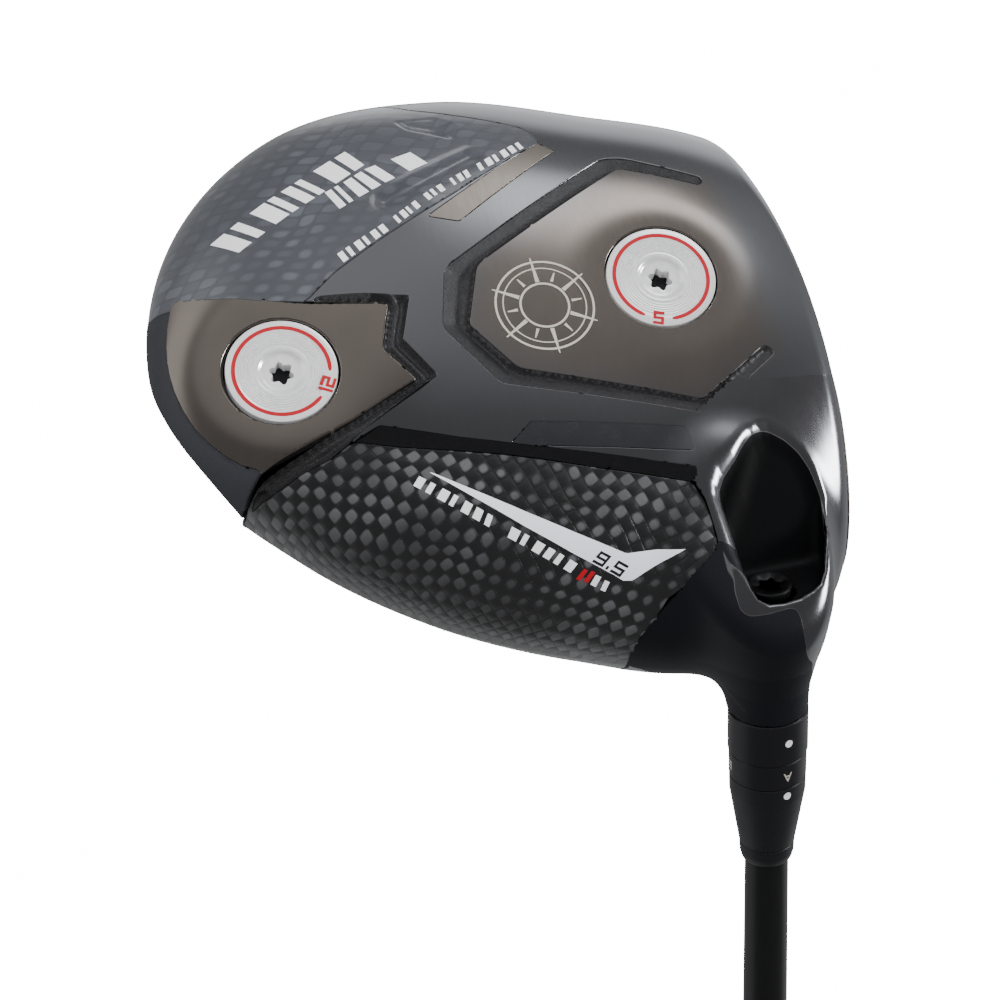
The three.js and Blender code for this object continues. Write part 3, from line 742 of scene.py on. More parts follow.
POD_GROOVE = [(64.2, -69.2), (60.3, -52.7), (51.7, -56.3), (43.1, -51.9), (40, -58.9), (37.1, -65.8),
              (34.8, -70.5), (33.1, -74.7), (32.6, -79.6, 9.4), (31.9, -83.3, 12.5), (31.8, -88.5, 20.3),
              (34.2, -86.5, 13.8), (42, -72), (51.3, -70), (62.5, -72)]
STEP_TOP = [(36.3, -64.7), (30.4, -50.9), (25.4, -37), (19.3, -19.2), (15, -7.5)]
HEEL_TOP = [(34.8, -69.8), (31.6, -62), (28.7, -53.3), (25.9, -44.5), (23.4, -37.5), (19.3, -27),
            (16.2, -18.1), (13.2, -10.5)]
HEEL_RIGHT = [(11.3, -9.9), (9.2, -9.2), (4.7, -8.9), (1.1, -8.8), (-0.3, -9.8), (-2.8, -13.5),
              (-5.6, -18.9, 12.3), (-8.5, -24.2, 20.5)]
ACCENT_FRONT = [(76.4, -44.5), (74.1, -39.0), (81.7, -25.6), (87.2, -16), (89.7, -18.4)]
ACCENT_HEEL = [(30.4, -37.3), (22.7, -3.8), (18.9, -8.4), (26.8, -42.3)]
CROWN_SEAM_W = 0.9
CROWN_HEEL_X = -0.5
CROWN_FACE_Y = 8.0
FRONT_WEIGHT = (54.7, -4.6, 0.3, 0.0)
REAR_WEIGHT = (51.2, -79.4, 3.4, math.radians(4.6))
WEIGHT_RADIUS = 10.5
PORT_RADIUS = 10.8

KNOT = (-9.4, -25.5)
knot_theta = math.degrees(math.atan2(KNOT[1] - CENTRE[1], KNOT[0] - CENTRE[0])) % 360


def ring_outline(x, y, radius, count=90):
    angle = np.arange(count) / count * 2 * np.pi
    return [(x + radius * math.cos(a), y + radius * math.sin(a)) for a in angle]


def crown_seam(count=240):
    theta = np.arange(count) / count * 2 * np.pi
    x, y, _ = dome_point(theta, np.full(count, 2 - CROWN_SEAM_W))
    return np.stack([np.maximum(x, CROWN_HEEL_X), np.minimum(y, CROWN_FACE_Y)], -1)


seam = crown_seam()
seam_flat = rounded([unrolled(x, y, None, True) for x, y in seam], 0.6)
TOE = [(64.4, -70.9), (68.4, -65.1), (72.7, -56.4), (76.6, -47.6), (80.5, -38.3), (86.1, -26.6),
       (89.9, -18.0), (92.5, -18.8), (94.8, -20.3), (97.7, -25.8), (100.6, -31.8), (104.2, -38.9, 9.6),
       (108.6, -44.6, 13.7), (111.4, -50.5, 22.0)]
toe_flat = head_outline(TOE, 0.6, rim_points(-17, -68, 1.03) + [unrolled(70, -90), unrolled(63, -76)])
heel_flat = head_outline(HEEL_TOP + HEEL_RIGHT, 0.6, rim_points(knot_theta, 251.6, 1.03)
                         + [unrolled(34.3, -87, 14.3), unrolled(34.0, -76)])
pod_flat = head_outline(POD, 0.45)
pod_groove_flat = head_outline(POD_GROOVE, 0.5)
step_flat = head_outline(STEP_TOP + [(13.2, -9.4)] + HEEL_TOP[::-1], 0.4)
groove_flat = head_outline(GROOVE, 1.5)
accent_front_flat = head_outline(ACCENT_FRONT, 0.2)
accent_heel_flat = head_outline(ACCENT_HEEL, 0.2)
front_port_flat = head_outline(ring_outline(*FRONT_WEIGHT[:2], PORT_RADIUS), 0.2)
rear_port_flat = head_outline(ring_outline(*REAR_WEIGHT[:2], PORT_RADIUS), 0.2)
SKIRT_TOE = [(40, -80, math.nan), (60, -80, math.nan), (73.8, -92.9, 13.0), (75.2, -94.5, 21.0)]
SKIRT_HEEL = [(32.5, -89.8, 24.4), (31.8, -88.5, 20.3), (34.4, -86.5, 13.8)]
skirt_flat = rounded([placed(p) for p in SKIRT_TOE] + rim_points(-68.3, -112, 1.75)
                     + [placed(p) for p in SKIRT_HEEL], 0.3)


# ---- the unrolled grid, settled on the head -----------------------------------------------------
STEP = 0.5
REACH = float(np.abs(seam_flat).max()) + 2
ticks = np.arange(-REACH, REACH + STEP, STEP)
shape = (len(ticks), len(ticks))
flat_x, flat_y = np.meshgrid(ticks, ticks, indexing="ij")
origin = np.array([ticks[0], ticks[0]])
face_line = math.degrees(math.acos(-19 / 80.3))
zone_flat = rounded(
    [unrolled(24, -8.5), unrolled(31, 3), unrolled(31, 20), unrolled(31, 35),
     flat_of(math.radians(face_line), np.array(1.0)), unrolled(31, 35, None, True),
     unrolled(31, 20, None, True), unrolled(31, 7, None, True), unrolled(0.5, 7, None, True),
     unrolled(0.5, -12, None, True), rim_points(knot_theta, knot_theta, 1.0, 1)[0]]
    + [placed(p) for p in HEEL_RIGHT[::-1]]
    + [unrolled(13.2, -10.5), unrolled(14.6, -8.6)], 0.3)
# Each region covers the ones before it.
REGIONS = [("skirt", skirt_flat), ("toe", toe_flat), ("front band", accent_front_flat),
           ("heel band", accent_heel_flat), ("channel", groove_flat), ("casting", zone_flat),
           ("heel", heel_flat), ("step", step_flat), ("pod channel", pod_groove_flat), ("pod", pod_flat),
           ("port", front_port_flat), ("port", rear_port_flat)]
grid_x, grid_y, on_line = snap(flat_x, flat_y, shape, origin, STEP, [outline for _, outline in REGIONS])
seam_x, seam_y, on_seam = snap(flat_x, flat_y, shape, origin, STEP, [seam_flat])
grid_x, grid_y = np.where(on_seam, seam_x, grid_x), np.where(on_seam, seam_y, grid_y)
on_line |= on_seam
triangles = grid_triangles(shape, on_line)
centre = np.stack([grid_x.ravel()[triangles].mean(1), grid_y.ravel()[triangles].mean(1)], -1)
kept = within(centre[:, 0], centre[:, 1], seam_flat)
triangles, centre = triangles[kept], centre[kept]
turn = np.arctan2(grid_y, grid_x).ravel()
distance = np.hypot(grid_x, grid_y).ravel()
needed = np.unique(triangles)
surface = np.zeros((len(turn), 3))
normal = np.zeros((len(turn), 3))
w_value = lookup(table_back, turn[needed], distance[needed] / ARC_STEP)
dome_x, dome_y, dome_z = dome_point(turn[needed], w_value)
first_guess = np.stack([dome_x, soft_min(dome_y, face_y(dome_x, dome_z), 5.0), dome_z], -1)
surface[needed], normal[needed] = settle(head, first_guess)
triangles = wound(triangles, surface, normal)

label = np.full(len(triangles), "body", dtype="<U12")
for region, outline in REGIONS:
    label[within(centre[:, 0], centre[:, 1], outline)] = region


def near(outline, reach):
    """Distance from every grid point to an outline, at most reach."""
    best = np.full(shape, reach * reach)
    for a, b in sides_of(outline[::2]):
        box = cells_near(a, b, reach, origin, STEP, shape)
        if box is not None:
            best[box] = np.minimum(best[box], nearest_on(grid_x[box], grid_y[box], a, b)[2])
    return np.sqrt(best).ravel()


def to_line(outline_points, reach):
    flat = np.array([unrolled(p[0], p[1]) for p in outline_points])
    dense = []
    for a, b in zip(flat, flat[1:]):
        n = max(1, int(np.linalg.norm(b - a) / 0.5))
        dense += [a + (b - a) * k / n for k in range(n)]
    dense.append(flat[-1])
    path = np.array(dense)
    return near(np.concatenate([path, path[::-1]]), reach)


plateau_flat = head_outline(GROOVE[8:] + [(74.6, 11.2), (37.0, 12.6)], 0.5)
inside_plateau = within(grid_x.ravel(), grid_y.ravel(), plateau_flat)
warm = np.clip(0.5 + np.where(inside_plateau, 1, -1) * near(plateau_flat, 6.0) / 8, 0, 1)


def skin(name, region, material, slot, node, level=None, formed=None, **options):
    tris = triangles[label == region]
    options["attributes"] = {"u": grid_x.ravel(), "v": grid_y.ravel(), "warm": warm}
    p, n = formed or (surface, normal)
    if level is not None:
        p = surface + normal * np.broadcast_to(level, (len(surface),))[:, None]
        options["facet"] = np.ndim(level) > 0
    obj = edged_skin(name, p, n, tris, material, **options)
    return fit_out(obj, "head", slot, node)


outer_gap = to_line(GROOVE[:8], 4.0)
inner_gap = to_line(GROOVE[7:], 4.0)
channel = -np.minimum(np.minimum(0.25 + 0.45 * outer_gap, 3.0 * inner_gap + 0.05), 1.7)
pod_gap = near(pod_flat, 4.0)
pod_outer = near(pod_groove_flat, 4.0)
pod_channel = -np.minimum(np.minimum(0.1 + 1.8 * pod_outer, 0.3 + 3.0 * pod_gap), 1.6)
pod_channel += 1.15 * np.exp(-((pod_gap - 1.5) / 0.6) ** 2)


def flush(weight, first, last, lift):
    """The skin brought into the plane of a weight's face round it, and lifted by lift further out."""
    x, y, z, tilt = weight
    out = np.array([0, -math.sin(tilt), -math.cos(tilt)])
    reach = np.array([x, y, z]) - surface
    away = np.hypot(reach[:, 0], reach[:, 1])
    k = np.clip((away - first) / (last - first), 0, 1)[:, None]
    k = k * k * (3 - 2 * k)
    plane = surface + (reach @ out)[:, None] * out
    return plane * (1 - k) + (surface + normal * lift) * k, unit(out * (1 - k) + normal * k)


def panel_drop(gap):
    """How far the heel panel lies below the dome: deeper towards its top edge."""
    return -0.15 - 0.75 * np.exp(-(gap / 5.0) ** 2)


pod_shape = flush(REAR_WEIGHT, 11.0, 25.0, 0.6)
skirt_shape = flush(REAR_WEIGHT, 11.0, 25.0, 0.1)
body_shape = flush(FRONT_WEIGHT, 11.0, 20.0, 0.0)
on_zone = near(zone_flat, 1.0) < 0.35
body_edge = np.where(on_zone, 0.0, 0.22)
top_gap = to_line(HEEL_TOP, 12.0)
panel_level = panel_drop(top_gap)
step_gap = to_line(STEP_TOP, 5.0)
step_level = -0.12 - np.minimum(step_gap * 0.32, 0.85)

SCOOP = [(101.2, -43.7), (100.4, -35.1), (97, -31.7), (93.5, -34.5), (98.2, -42.3)]
SLIT = [(81.8, -51.3), (88.9, -32.3)]
scoop_flat = head_outline(SCOOP, 1.2)
scoop_depth = near(scoop_flat, 6.0) * np.where(within(grid_x.ravel(), grid_y.ravel(), scoop_flat), 1, 0)
slit_gap = to_line(SLIT, 5.0)
toe_level = -np.minimum(scoop_depth * 0.5, 1.6) - 0.9 * np.exp(-(slit_gap / 1.6) ** 2)

BODY = ("polished_body", "head_body")
skin("sole_body", "body", body_metal, *BODY, formed=body_shape, edge=body_edge, drop=0.18, depth=2.4)
skin("sole_channel", "channel", groove_black, *BODY, level=channel, edge=0.02, drop=0.05)
skin("accent_band_front", "front band", band_bronze, *BODY, edge=0.05, drop=0.04)
skin("accent_band_heel", "heel band", band_grey, *BODY, edge=0.05, drop=0.04)
skin("step_band", "step", gloss_black, *BODY, level=step_level, edge=0.1, drop=0.1)
skin("pod_channel", "pod channel", groove_black, *BODY, level=pod_channel, edge=0.02, drop=0.05)
skin("rear_skirt", "skirt", skirt_black, *BODY, formed=skirt_shape, edge=0.3, drop=0.3)
skin("toe_carbon_panel", "toe", toe_carbon, "toe_carbon", "toe_panel", level=toe_level, edge=0.2, drop=0.2)
skin("heel_carbon_panel", "heel", heel_carbon, "heel_carbon", "heel_panel", level=panel_level, edge=0.3,
     drop=0.3)
skin("rear_pod_plate", "pod", pod_metal, "polished_body", "rear_pod", formed=pod_shape, edge=0.35, drop=0.35,
     depth=2.4)


# ---- heel casting, with the hosel and the screw recess --------------------------------------------
HEEL_BOX = ((-31, -34, -3), (34, 28, 44))
HEEL_STEP = 0.55
HEEL_SOLE_ZONE = ([(31.8, 60), (31.8, 2.6), (24.4, -9.2), (14.6, -9.3), (13.2, -10.5)]
                  + [p[:2] for p in HEEL_RIGHT] + [KNOT, (-40, -66), (-60, 0), (-40, 60)])
HEEL_CROWN_ZONE = [(31.8, 60), (31.8, 8), (-0.5, 8), (-0.5, -12), KNOT, (-40, -66), (-60, 0), (-40, 60)]
# The matte paint's border: degrees round the shaft's axis, and distance along it.
MATTE_EDGE = [(-180, 16), (-116, 14), (-112, 3), (-110, 3.3), (-99.7, 5.2), (-88, 7.0), (-73, 9.1),
              (-59, 11.6), (-51.5, 13.2), (-42, 13.9), (-22.8, 13.9), (8.6, 13.7), (18, 13.9), (19, 15.0),
              (17, 17), (17, 19.5), (20, 22.5), (26, 24.7), (37.5, 26.8), (48, 30.5), (60, 31), (120, 31),
              (150, 20), (180, 16)]


def surface_nets(values, low, step):
    """Triangles of the surface where values on a grid cross zero, facing outwards."""
    inside = values < 0
    size = values.shape
    corners = [(i, j, k) for i in (0, 1) for j in (0, 1) for k in (0, 1)]
    count = sum(inside[i:size[0] - 1 + i, j:size[1] - 1 + j, k:size[2] - 1 + k].astype(int)
                for i, j, k in corners)
    cells = np.argwhere((count > 0) & (count < 8))
    index = np.full([n - 1 for n in size], -1)
    index[tuple(cells.T)] = np.arange(len(cells))
    total, hits = np.zeros((len(cells), 3)), np.zeros(len(cells))
    for corner_at in corners:
        for axis in range(3):
            if corner_at[axis]:
                continue
            other = np.array(corner_at)
            other[axis] = 1
            a = values[tuple((cells + corner_at).T)]
            b = values[tuple((cells + other).T)]
            cross = (a < 0) != (b < 0)
            t = np.where(cross, a / np.where(cross, a - b, 1), 0)
            total[cross] += (np.array(corner_at) + np.outer(t, np.eye(3)[axis]))[cross]
            hits[cross] += 1
    vertices = low + (cells + total / hits[:, None]) * step
    quads = []
    for axis in range(3):
        first, second = [slice(None)] * 3, [slice(None)] * 3
        first[axis], second[axis] = slice(0, -1), slice(1, None)
        start = inside[tuple(first)]
        at = np.argwhere(start != inside[tuple(second)])
        o, q = (axis + 1) % 3, (axis + 2) % 3
        at = at[(at[:, o] > 0) & (at[:, q] > 0) & (at[:, o] < size[o] - 1) & (at[:, q] < size[q] - 1)]
        eo, eq = np.eye(3, dtype=int)[o], np.eye(3, dtype=int)[q]
        quad = np.stack([index[tuple((at - e).T)] for e in (eo + eq, eq, 0 * eo, eo)], -1)
        flip = ~start[tuple(at.T)]
        quad[flip] = quad[flip][:, ::-1]
        quads.append(quad)
    return vertices, np.concatenate(quads)


def heel_casting():
    low, high = [np.array(c, float) for c in HEEL_BOX]
    axes = [np.arange(low[i], high[i], HEEL_STEP) for i in range(3)]
    points = np.stack(np.meshgrid(*axes, indexing="ij"), -1)
    vertices, quads = surface_nets(heel(points), low, HEEL_STEP)
    p, n = settle(heel, vertices, 3)
    moved = np.linalg.norm(p - vertices, axis=1) > 1.2
    p[moved] = vertices[moved]
    for outline, under in ((HEEL_SOLE_ZONE, n[:, 2] < 0), (HEEL_CROWN_ZONE, n[:, 2] >= 0)):
        for a, b in sides_of(np.array(outline, float)):
            x, y, off = nearest_on(p[:, 0], p[:, 1], a, b)
            close = under & (off < (0.5 * HEEL_STEP) ** 2) & (np.abs(n[:, 2]) > 0.3) & (head(p) > -0.5)
            p[close, 0], p[close, 1] = x[close], y[close]
    middle, tilt = p[quads].mean(1), n[quads].mean(1)
    sole = tilt[:, 2] < 0
    keep = np.where(sole, polygon_distance(middle[:, 0], middle[:, 1], HEEL_SOLE_ZONE) < 0,
                    polygon_distance(middle[:, 0], middle[:, 1], HEEL_CROWN_ZONE) < 0)
    quads = quads[keep | (head(middle) < -0.6)]
    tris = np.concatenate([quads[:, [0, 1, 2]], quads[:, [0, 2, 3]]])
    s, across, y = axis_parts(p)
    around = np.degrees(np.arctan2(y, -across))
    border = rounded([(math.radians(a) * 10, b) for a, b in MATTE_EDGE] + [(32, 60), (-32, 60)], 1.0)
    matte = -polygon_distance(np.radians(around) * 10, s, border)
    matte = np.maximum(matte, np.minimum(-8.7 - p[:, 1], 1.2 - p[:, 0]))
    matte = np.where(s > 36, 1.0, matte)
    # The second attribute, the depth into the screw recess, places the painted shade there; it starts further
    # in where the recess's edge is more rounded.
    return edged_skin("heel_casting", p - n * 0.03, n, tris, heel_metal, edge=0.0, drop=0.1, depth=1.2,
                      attributes={"matte": matte, "shade_depth": -head(p) - 0.3 * (edge_rounding(p) - EDGE_SHARP)})


fit_out(heel_casting(), "head", "polished_body", "head_body")


# ---- crown and face -------------------------------------------------------------------------------
def filled(outline, step, inside):
    """Points and triangles of a plan grid that fill an outline."""
    low = outline.min(0) - 2 * step
    count = np.ceil((outline.max(0) + 2 * step - low) / step).astype(int)
    gx, gy = np.meshgrid(*[low[i] + np.arange(count[i]) * step for i in (0, 1)], indexing="ij")
    px, py, hit = snap(gx, gy, gx.shape, low, step, [outline])
    px, py = px.ravel(), py.ravel()
    tris = grid_triangles(gx.shape, hit)
    tris = tris[inside(px[tris].mean(1), py[tris].mean(1), outline)]
    used, flat = np.unique(tris, return_inverse=True)
    return px[used], py[used], flat.reshape(-1, 3)


def plan_skin(name, outline, step, to_surface, material, slot, node, level=0.0, **options):
    """A skin over a plan outline; to_surface turns plan points into first guesses of the surface."""
    x, y, tris = filled(outline, step, within)
    p, n = settle(head, to_surface(x, y), 2)
    obj = edged_skin(name, p + n * level, n, wound(tris, p, n), material, **options)
    return fit_out(obj, "head", slot, node)


def crown_guess(x, y):
    theta, u = plan_polar(x, y)
    m, n = CROWN_POWERS
    rim = rim_height(theta)
    return np.stack([x, y, rim + (crown_top(y) - rim) * (1 - np.clip(u, 0, 1) ** m) ** (1 / n)], -1)


plan_skin("crown_carbon_skin", rounded([tuple(p) for p in seam], 0.6), 0.9, crown_guess, crown_carbon,
          "crown_carbon", "crown_panel", edge=0.2, drop=0.2)


def face_outline(count=160):
    angle = np.arange(count) / count * 2 * np.pi
    c, s = np.cos(angle), np.sin(angle)
    return np.stack([44 + 45 * np.sign(c) * np.abs(c) ** (2 / 2.6),
                     29.5 + 20.5 * np.sign(s) * np.abs(s) ** (2 / 2.6)], -1)


plan_skin("face_plate", face_outline(), 0.9, lambda x, z: np.stack([x, face_y(x, z) - 1, z], -1), face_metal,
          "face_metal", "face_insert", level=0.22, edge=0.25, drop=0.2, depth=0.6)


# ---- weights ----------------------------------------------------------------------------------------
RED_RADIUS = 8.97
TORX = 2.45


def weight_place(weight):
    x, y, z, tilt = weight
    return HEAD @ Matrix.Translation((x * MM, y * MM, z * MM)) @ Matrix.Rotation(-tilt, 4, "X")


def grooved(first, last, pitch, height, depth):
    rings = []
    count = int((first - last) / pitch)
    for k in range(count):
        r = first - k * pitch
        rings += [(r, height), (r - 0.35 * pitch, height + 0.1 * depth), (r - 0.6 * pitch, height + depth),
                  (r - 0.85 * pitch, height + 0.5 * depth)]
    return rings


def make_weight(name, weight, node):
    rings = [(0, 3.4), (lobed(TORX - 0.35), 3.4), (lobed(TORX - 0.1), 1.05), (lobed(TORX), 0.92), (2.9, 0.86),
             (3.5, 0.88), (3.85, 0.80), (4.15, 0.55), (4.4, 0.28), (4.7, 0.16), (5.1, 0.14)]
    rings += grooved(8.35, 5.2, 0.5, 0.08, 0.22)[::-1]
    rings += [(8.45, 0.02), (8.6, 0.0), (10.25, 0.0), (10.42, 0.06), (WEIGHT_RADIUS, 0.25),
              (WEIGHT_RADIUS, 4.7), (10.2, 5.0), (3, 5.0), (3, 12.0), (2.7, 12.3), (0, 12.3)]
    body = spun(name + "_screw_plug", rings, aluminium_with_sheen, weight_place(weight), 144, 30)
    fit_out(body, name, "weight_metal", node)
    # A dark disc laid in the torx socket over the aluminium: painted shade in the hole.
    socket = [(0, 3.0), (lobed(TORX - 0.2), 3.0), (lobed(TORX - 0.2), 3.3), (0, 3.3)]
    socket_shade_disc = spun(name + "_socket_shade", socket, steel_dark, weight_place(weight), 96, 30)
    fit_out(socket_shade_disc, name, "weight_metal")


make_weight("front_weight", FRONT_WEIGHT, "front_weight")
make_weight("rear_weight", REAR_WEIGHT, "rear_weight")


def red_ring(name, weight, middle, gap):
    """A raised painted ring on the weight's rim, open where the number stands."""
    start, end = math.radians(middle + gap), math.radians(middle - gap + 360)
    count = 130
    rows = []
    for k in range(count + 1):
        a = start + (end - start) * k / count
        taper = min(1.0, 0.55 + 0.45 * min(k, count - k) / 2)
        for r, z in ((-0.42, 0.06), (-0.36, -0.04), (0.36, -0.04), (0.42, 0.06)):
            rows.append(((RED_RADIUS + r * taper) * math.cos(a), (RED_RADIUS + r * taper) * math.sin(a), z))
    faces = []
    for k in range(count):
        for j in range(4):
            a, b = 4 * k + j, 4 * k + (j + 1) % 4
            faces.append((a, b, b + 4, a + 4))
    faces += [(3, 2, 1, 0), tuple(4 * count + j for j in range(4))]
    obj = add_mesh(name + "_ring", rows, faces, ink_red, weight_place(weight), smooth=False)
    fit_out(obj, name, "weight_metal")


# Digits as square strokes in a box one unit high.
STROKES = {
    "1": [[(0.0, 0), (0.0, 1)]],
    "2": [[(0, 1), (0.62, 1), (0.62, 0.5), (0, 0.5), (0, 0), (0.62, 0)]],
    "5": [[(0.62, 1), (0, 1), (0, 0.5), (0.62, 0.5), (0.62, 0), (0, 0)]],
    "9": [[(0.62, 0.5), (0, 0.5), (0, 1), (0.62, 1), (0.62, 0), (0, 0)]],
    ".": [[(0.0, 0.0), (0.0, 0.12)]]}


def stroke_quads(text, height, width, stretch=1.0, spacing=0.42, slant=0.0):
    """The strokes of a number as quads, centred on the origin, one quad for each straight stroke."""
    quads, x = [], 0.0
    for letter in text:
        paths = STROKES[letter]
        for path in paths:
            pts = [np.array((x + a * stretch * height, b * height)) for a, b in path]
            for a, b in zip(pts, pts[1:]):
                d = (b - a) / np.linalg.norm(b - a)
                side = np.array((-d[1], d[0])) * width / 2
                a, b = a - d * width / 2, b + d * width / 2
                quads.append([a - side, b - side, b + side, a + side])
        reach = max(a for path in paths for a, _ in path)
        x += (reach * stretch + spacing) * height
    quads = np.array(quads)
    quads[..., 0] += slant * quads[..., 1]
    middle = (quads.min((0, 1)) + quads.max((0, 1))) / 2
    return quads - middle


def letters(name, text, size, depth, bold):
    """Raised letters as vertices and faces, centred on the origin in their own plane."""
    curve = bpy.data.curves.new(name, "FONT")
    curve.body = text
    curve.size = size
    curve.extrude = depth / 2
    curve.offset = bold
    curve.align_x, curve.align_y = "CENTER", "CENTER"
    curve.resolution_u = 6
    holder = bpy.data.objects.new(name, curve)
    bpy.context.scene.collection.objects.link(holder)
    bpy.context.view_layer.update()
    mesh = bpy.data.meshes.new_from_object(holder)
    vertices = np.array([v.co for v in mesh.vertices], float)
    faces = [list(p.vertices) for p in mesh.polygons]
    bpy.data.objects.remove(holder)
    bpy.data.curves.remove(curve)
    bpy.data.meshes.remove(mesh)
    middle = (vertices.min(0) + vertices.max(0)) / 2
    return vertices - middle, faces


def weight_number(name, weight, text, middle, size):
    a = math.radians(middle)
    right = np.array([math.sin(a), -math.cos(a)])
    up = np.array([-math.cos(a), -math.sin(a)])
    vertices, faces = [], []
    for k, quad in enumerate(stroke_quads(text, size, 0.56, 1.1)):
        flat = -RED_RADIUS * up + 0.12 * up + quad[:, :1] * right + quad[:, 1:] * up
        top = -0.045 - 0.002 * (k % 2)
        start = len(vertices)
        vertices += [(x, y, z) for z in (top, 0.06) for x, y in flat]
        faces += [(start, start + 1, start + 2, start + 3), (start + 7, start + 6, start + 5, start + 4)]
        for j in range(4):
            i = (j + 1) % 4
            faces.append((start + j, start + 4 + j, start + 4 + i, start + i))
    obj = add_mesh(name + "_number", vertices, faces, ink_red, weight_place(weight), smooth=False)
    fit_out(obj, name, "weight_metal")


red_ring("front_weight", FRONT_WEIGHT, 199.8, 17)
weight_number("front_weight", FRONT_WEIGHT, "5", 199.8, 2.2)
red_ring("rear_weight", REAR_WEIGHT, 121.5, 18)
weight_number("rear_weight", REAR_WEIGHT, "12", 121.5, 2.2)


# A dark cup round each weight, so the narrow gap between the weight and the skin reads as painted shade.
def make_shaded_port(name, weight):
    outer = PORT_RADIUS + 0.9
    rings = [(outer, 0.7), (PORT_RADIUS + 0.06, 0.7), (PORT_RADIUS, 1.3), (PORT_RADIUS, 6.0), (3.4, 6.0),
             (3.4, 13.5), (outer, 13.5)]
    obj = spun(name, rings, ink_black, weight_place(weight), 96, 35, closed=True)
    fit_out(obj, "head", "polished_body")


make_shaded_port("front_port", FRONT_WEIGHT)
make_shaded_port("rear_port", REAR_WEIGHT)


# ---- markings on the sole -----------------------------------------------------------------------------
def on_sole(x, y):
    """Points of the head's sole under plan points, with their normals."""
    x, y = np.asarray(x, float), np.asarray(y, float)
    theta, u = plan_polar(x, y)
    m, n = SOLE_POWERS
    z = rim_height(theta) * (1 - (1 - np.clip(u, 0, 0.999) ** m) ** (1 / n))
    return settle(head, np.stack([x, y, z], -1), 2)


def panel_lift(x, y):
    flat = np.stack([unrolled(a, b) for a, b in zip(x, y)])
    line = np.array([unrolled(*p) for p in HEEL_TOP])
    gap = np.full(len(x), 12.0)
    for a, b in zip(line, line[1:]):
        gap = np.minimum(gap, np.sqrt(nearest_on(flat[:, 0], flat[:, 1], a, b)[2]))
    return panel_drop(gap)


def sole_film(name, outline, material, slot, thick, lift, node, step):
    """A thin film on the sole over a plan outline."""
    x, y, tris = filled(outline, step, lambda px, py, line: polygon_distance(px, py, line) < 0)
    p, n = on_sole(x, y)
    p = p + n * (lift(x, y) + thick)[:, None]
    obj = edged_skin(name, p, n, wound(tris, p, n), material, edge=0.0, drop=0.01, depth=thick)
    return fit_out(obj, "head", slot, node)


CHEVRON = [(26.5, -58.8), (20.6, -50.8), (14.6, -42.4), (9.3, -34.6), (5.7, -29.1), (3.4, -25.6),
           (2.8, -19.9), (1.8, -14.4), (0.7, -19.4), (-0.9, -25.2), (-0.5, -26.9), (0.5, -28.1),
           (5.9, -35.3), (12.1, -42.9), (19.4, -51.1)]
chevron_outline = np.concatenate([[np.array(a) + (np.array(b) - np.array(a)) * k / 6 for k in range(6)]
                                  for a, b in zip(CHEVRON, CHEVRON[1:] + CHEVRON[:1])])
sole_film("chevron_foil", chevron_outline, foil, "silver_foil", 0.07, panel_lift, "heel_chevron", 0.5)


def quad_film(name, quads, material, slot, thick=0.06, lift=None, cell=1.2):
    """Thin marks on the sole, one for each plan quad, all in one piece."""
    p_all, n_all, tris_all, start = [], [], [], 0
    for k, quad in enumerate(quads):
        a, b, c, d = [np.array(q, float) for q in quad]
        nu = max(1, int(np.ceil(np.linalg.norm(b - a) / cell)))
        nv = max(1, int(np.ceil(np.linalg.norm(d - a) / cell)))
        s, r = np.meshgrid(np.arange(nu + 1) / nu, np.arange(nv + 1) / nv, indexing="ij")
        s, r = s.ravel()[:, None], r.ravel()[:, None]
        flat = a * (1 - s) * (1 - r) + b * s * (1 - r) + c * s * r + d * (1 - s) * r
        p, n = on_sole(flat[:, 0], flat[:, 1])
        rise = (0 if lift is None else lift(flat[:, 0], flat[:, 1])) + thick + 0.004 * (k % 2)
        tris = grid_triangles((nu + 1, nv + 1), np.zeros((nu + 1) * (nv + 1), bool))
        tris = wound(tris, p, n)
        p_all.append(p + n * np.broadcast_to(rise, (len(p),))[:, None])
        n_all.append(n)
        tris_all.append(tris + start)
        start += len(p)
    obj = edged_skin(name, np.concatenate(p_all), np.concatenate(n_all), np.concatenate(tris_all), material,
                     edge=0.0, drop=0.01, depth=thick)
    return fit_out(obj, "head", slot)


def row_of_marks(low, high, marks):
    """Quads between two rows of points: marks are (from, to) shares of the row's length."""
    low, high = np.array(low, float), np.array(high, float)
    share = np.linspace(0, 1, len(low))

    def at(line, k):
        return np.array([np.interp(k, share, line[:, 0]), np.interp(k, share, line[:, 1])])

    return [[at(low, a), at(low, b), at(high, b), at(high, a)] for a, b in marks]


def words(counts, wide=(0.62, 0.45, 0.7, 0.38, 0.66)):
    """Shares of a row for groups of small marks with a gap of one mark between the groups."""
    total = sum(counts) + len(counts) - 1
    marks, x, turn_of = [], 0.0, 0
    for count in counts:
        for _ in range(count):
            marks.append((x / total, (x + wide[turn_of % len(wide)]) / total))
            turn_of += 1
            x += 1
        x += 1
    return marks


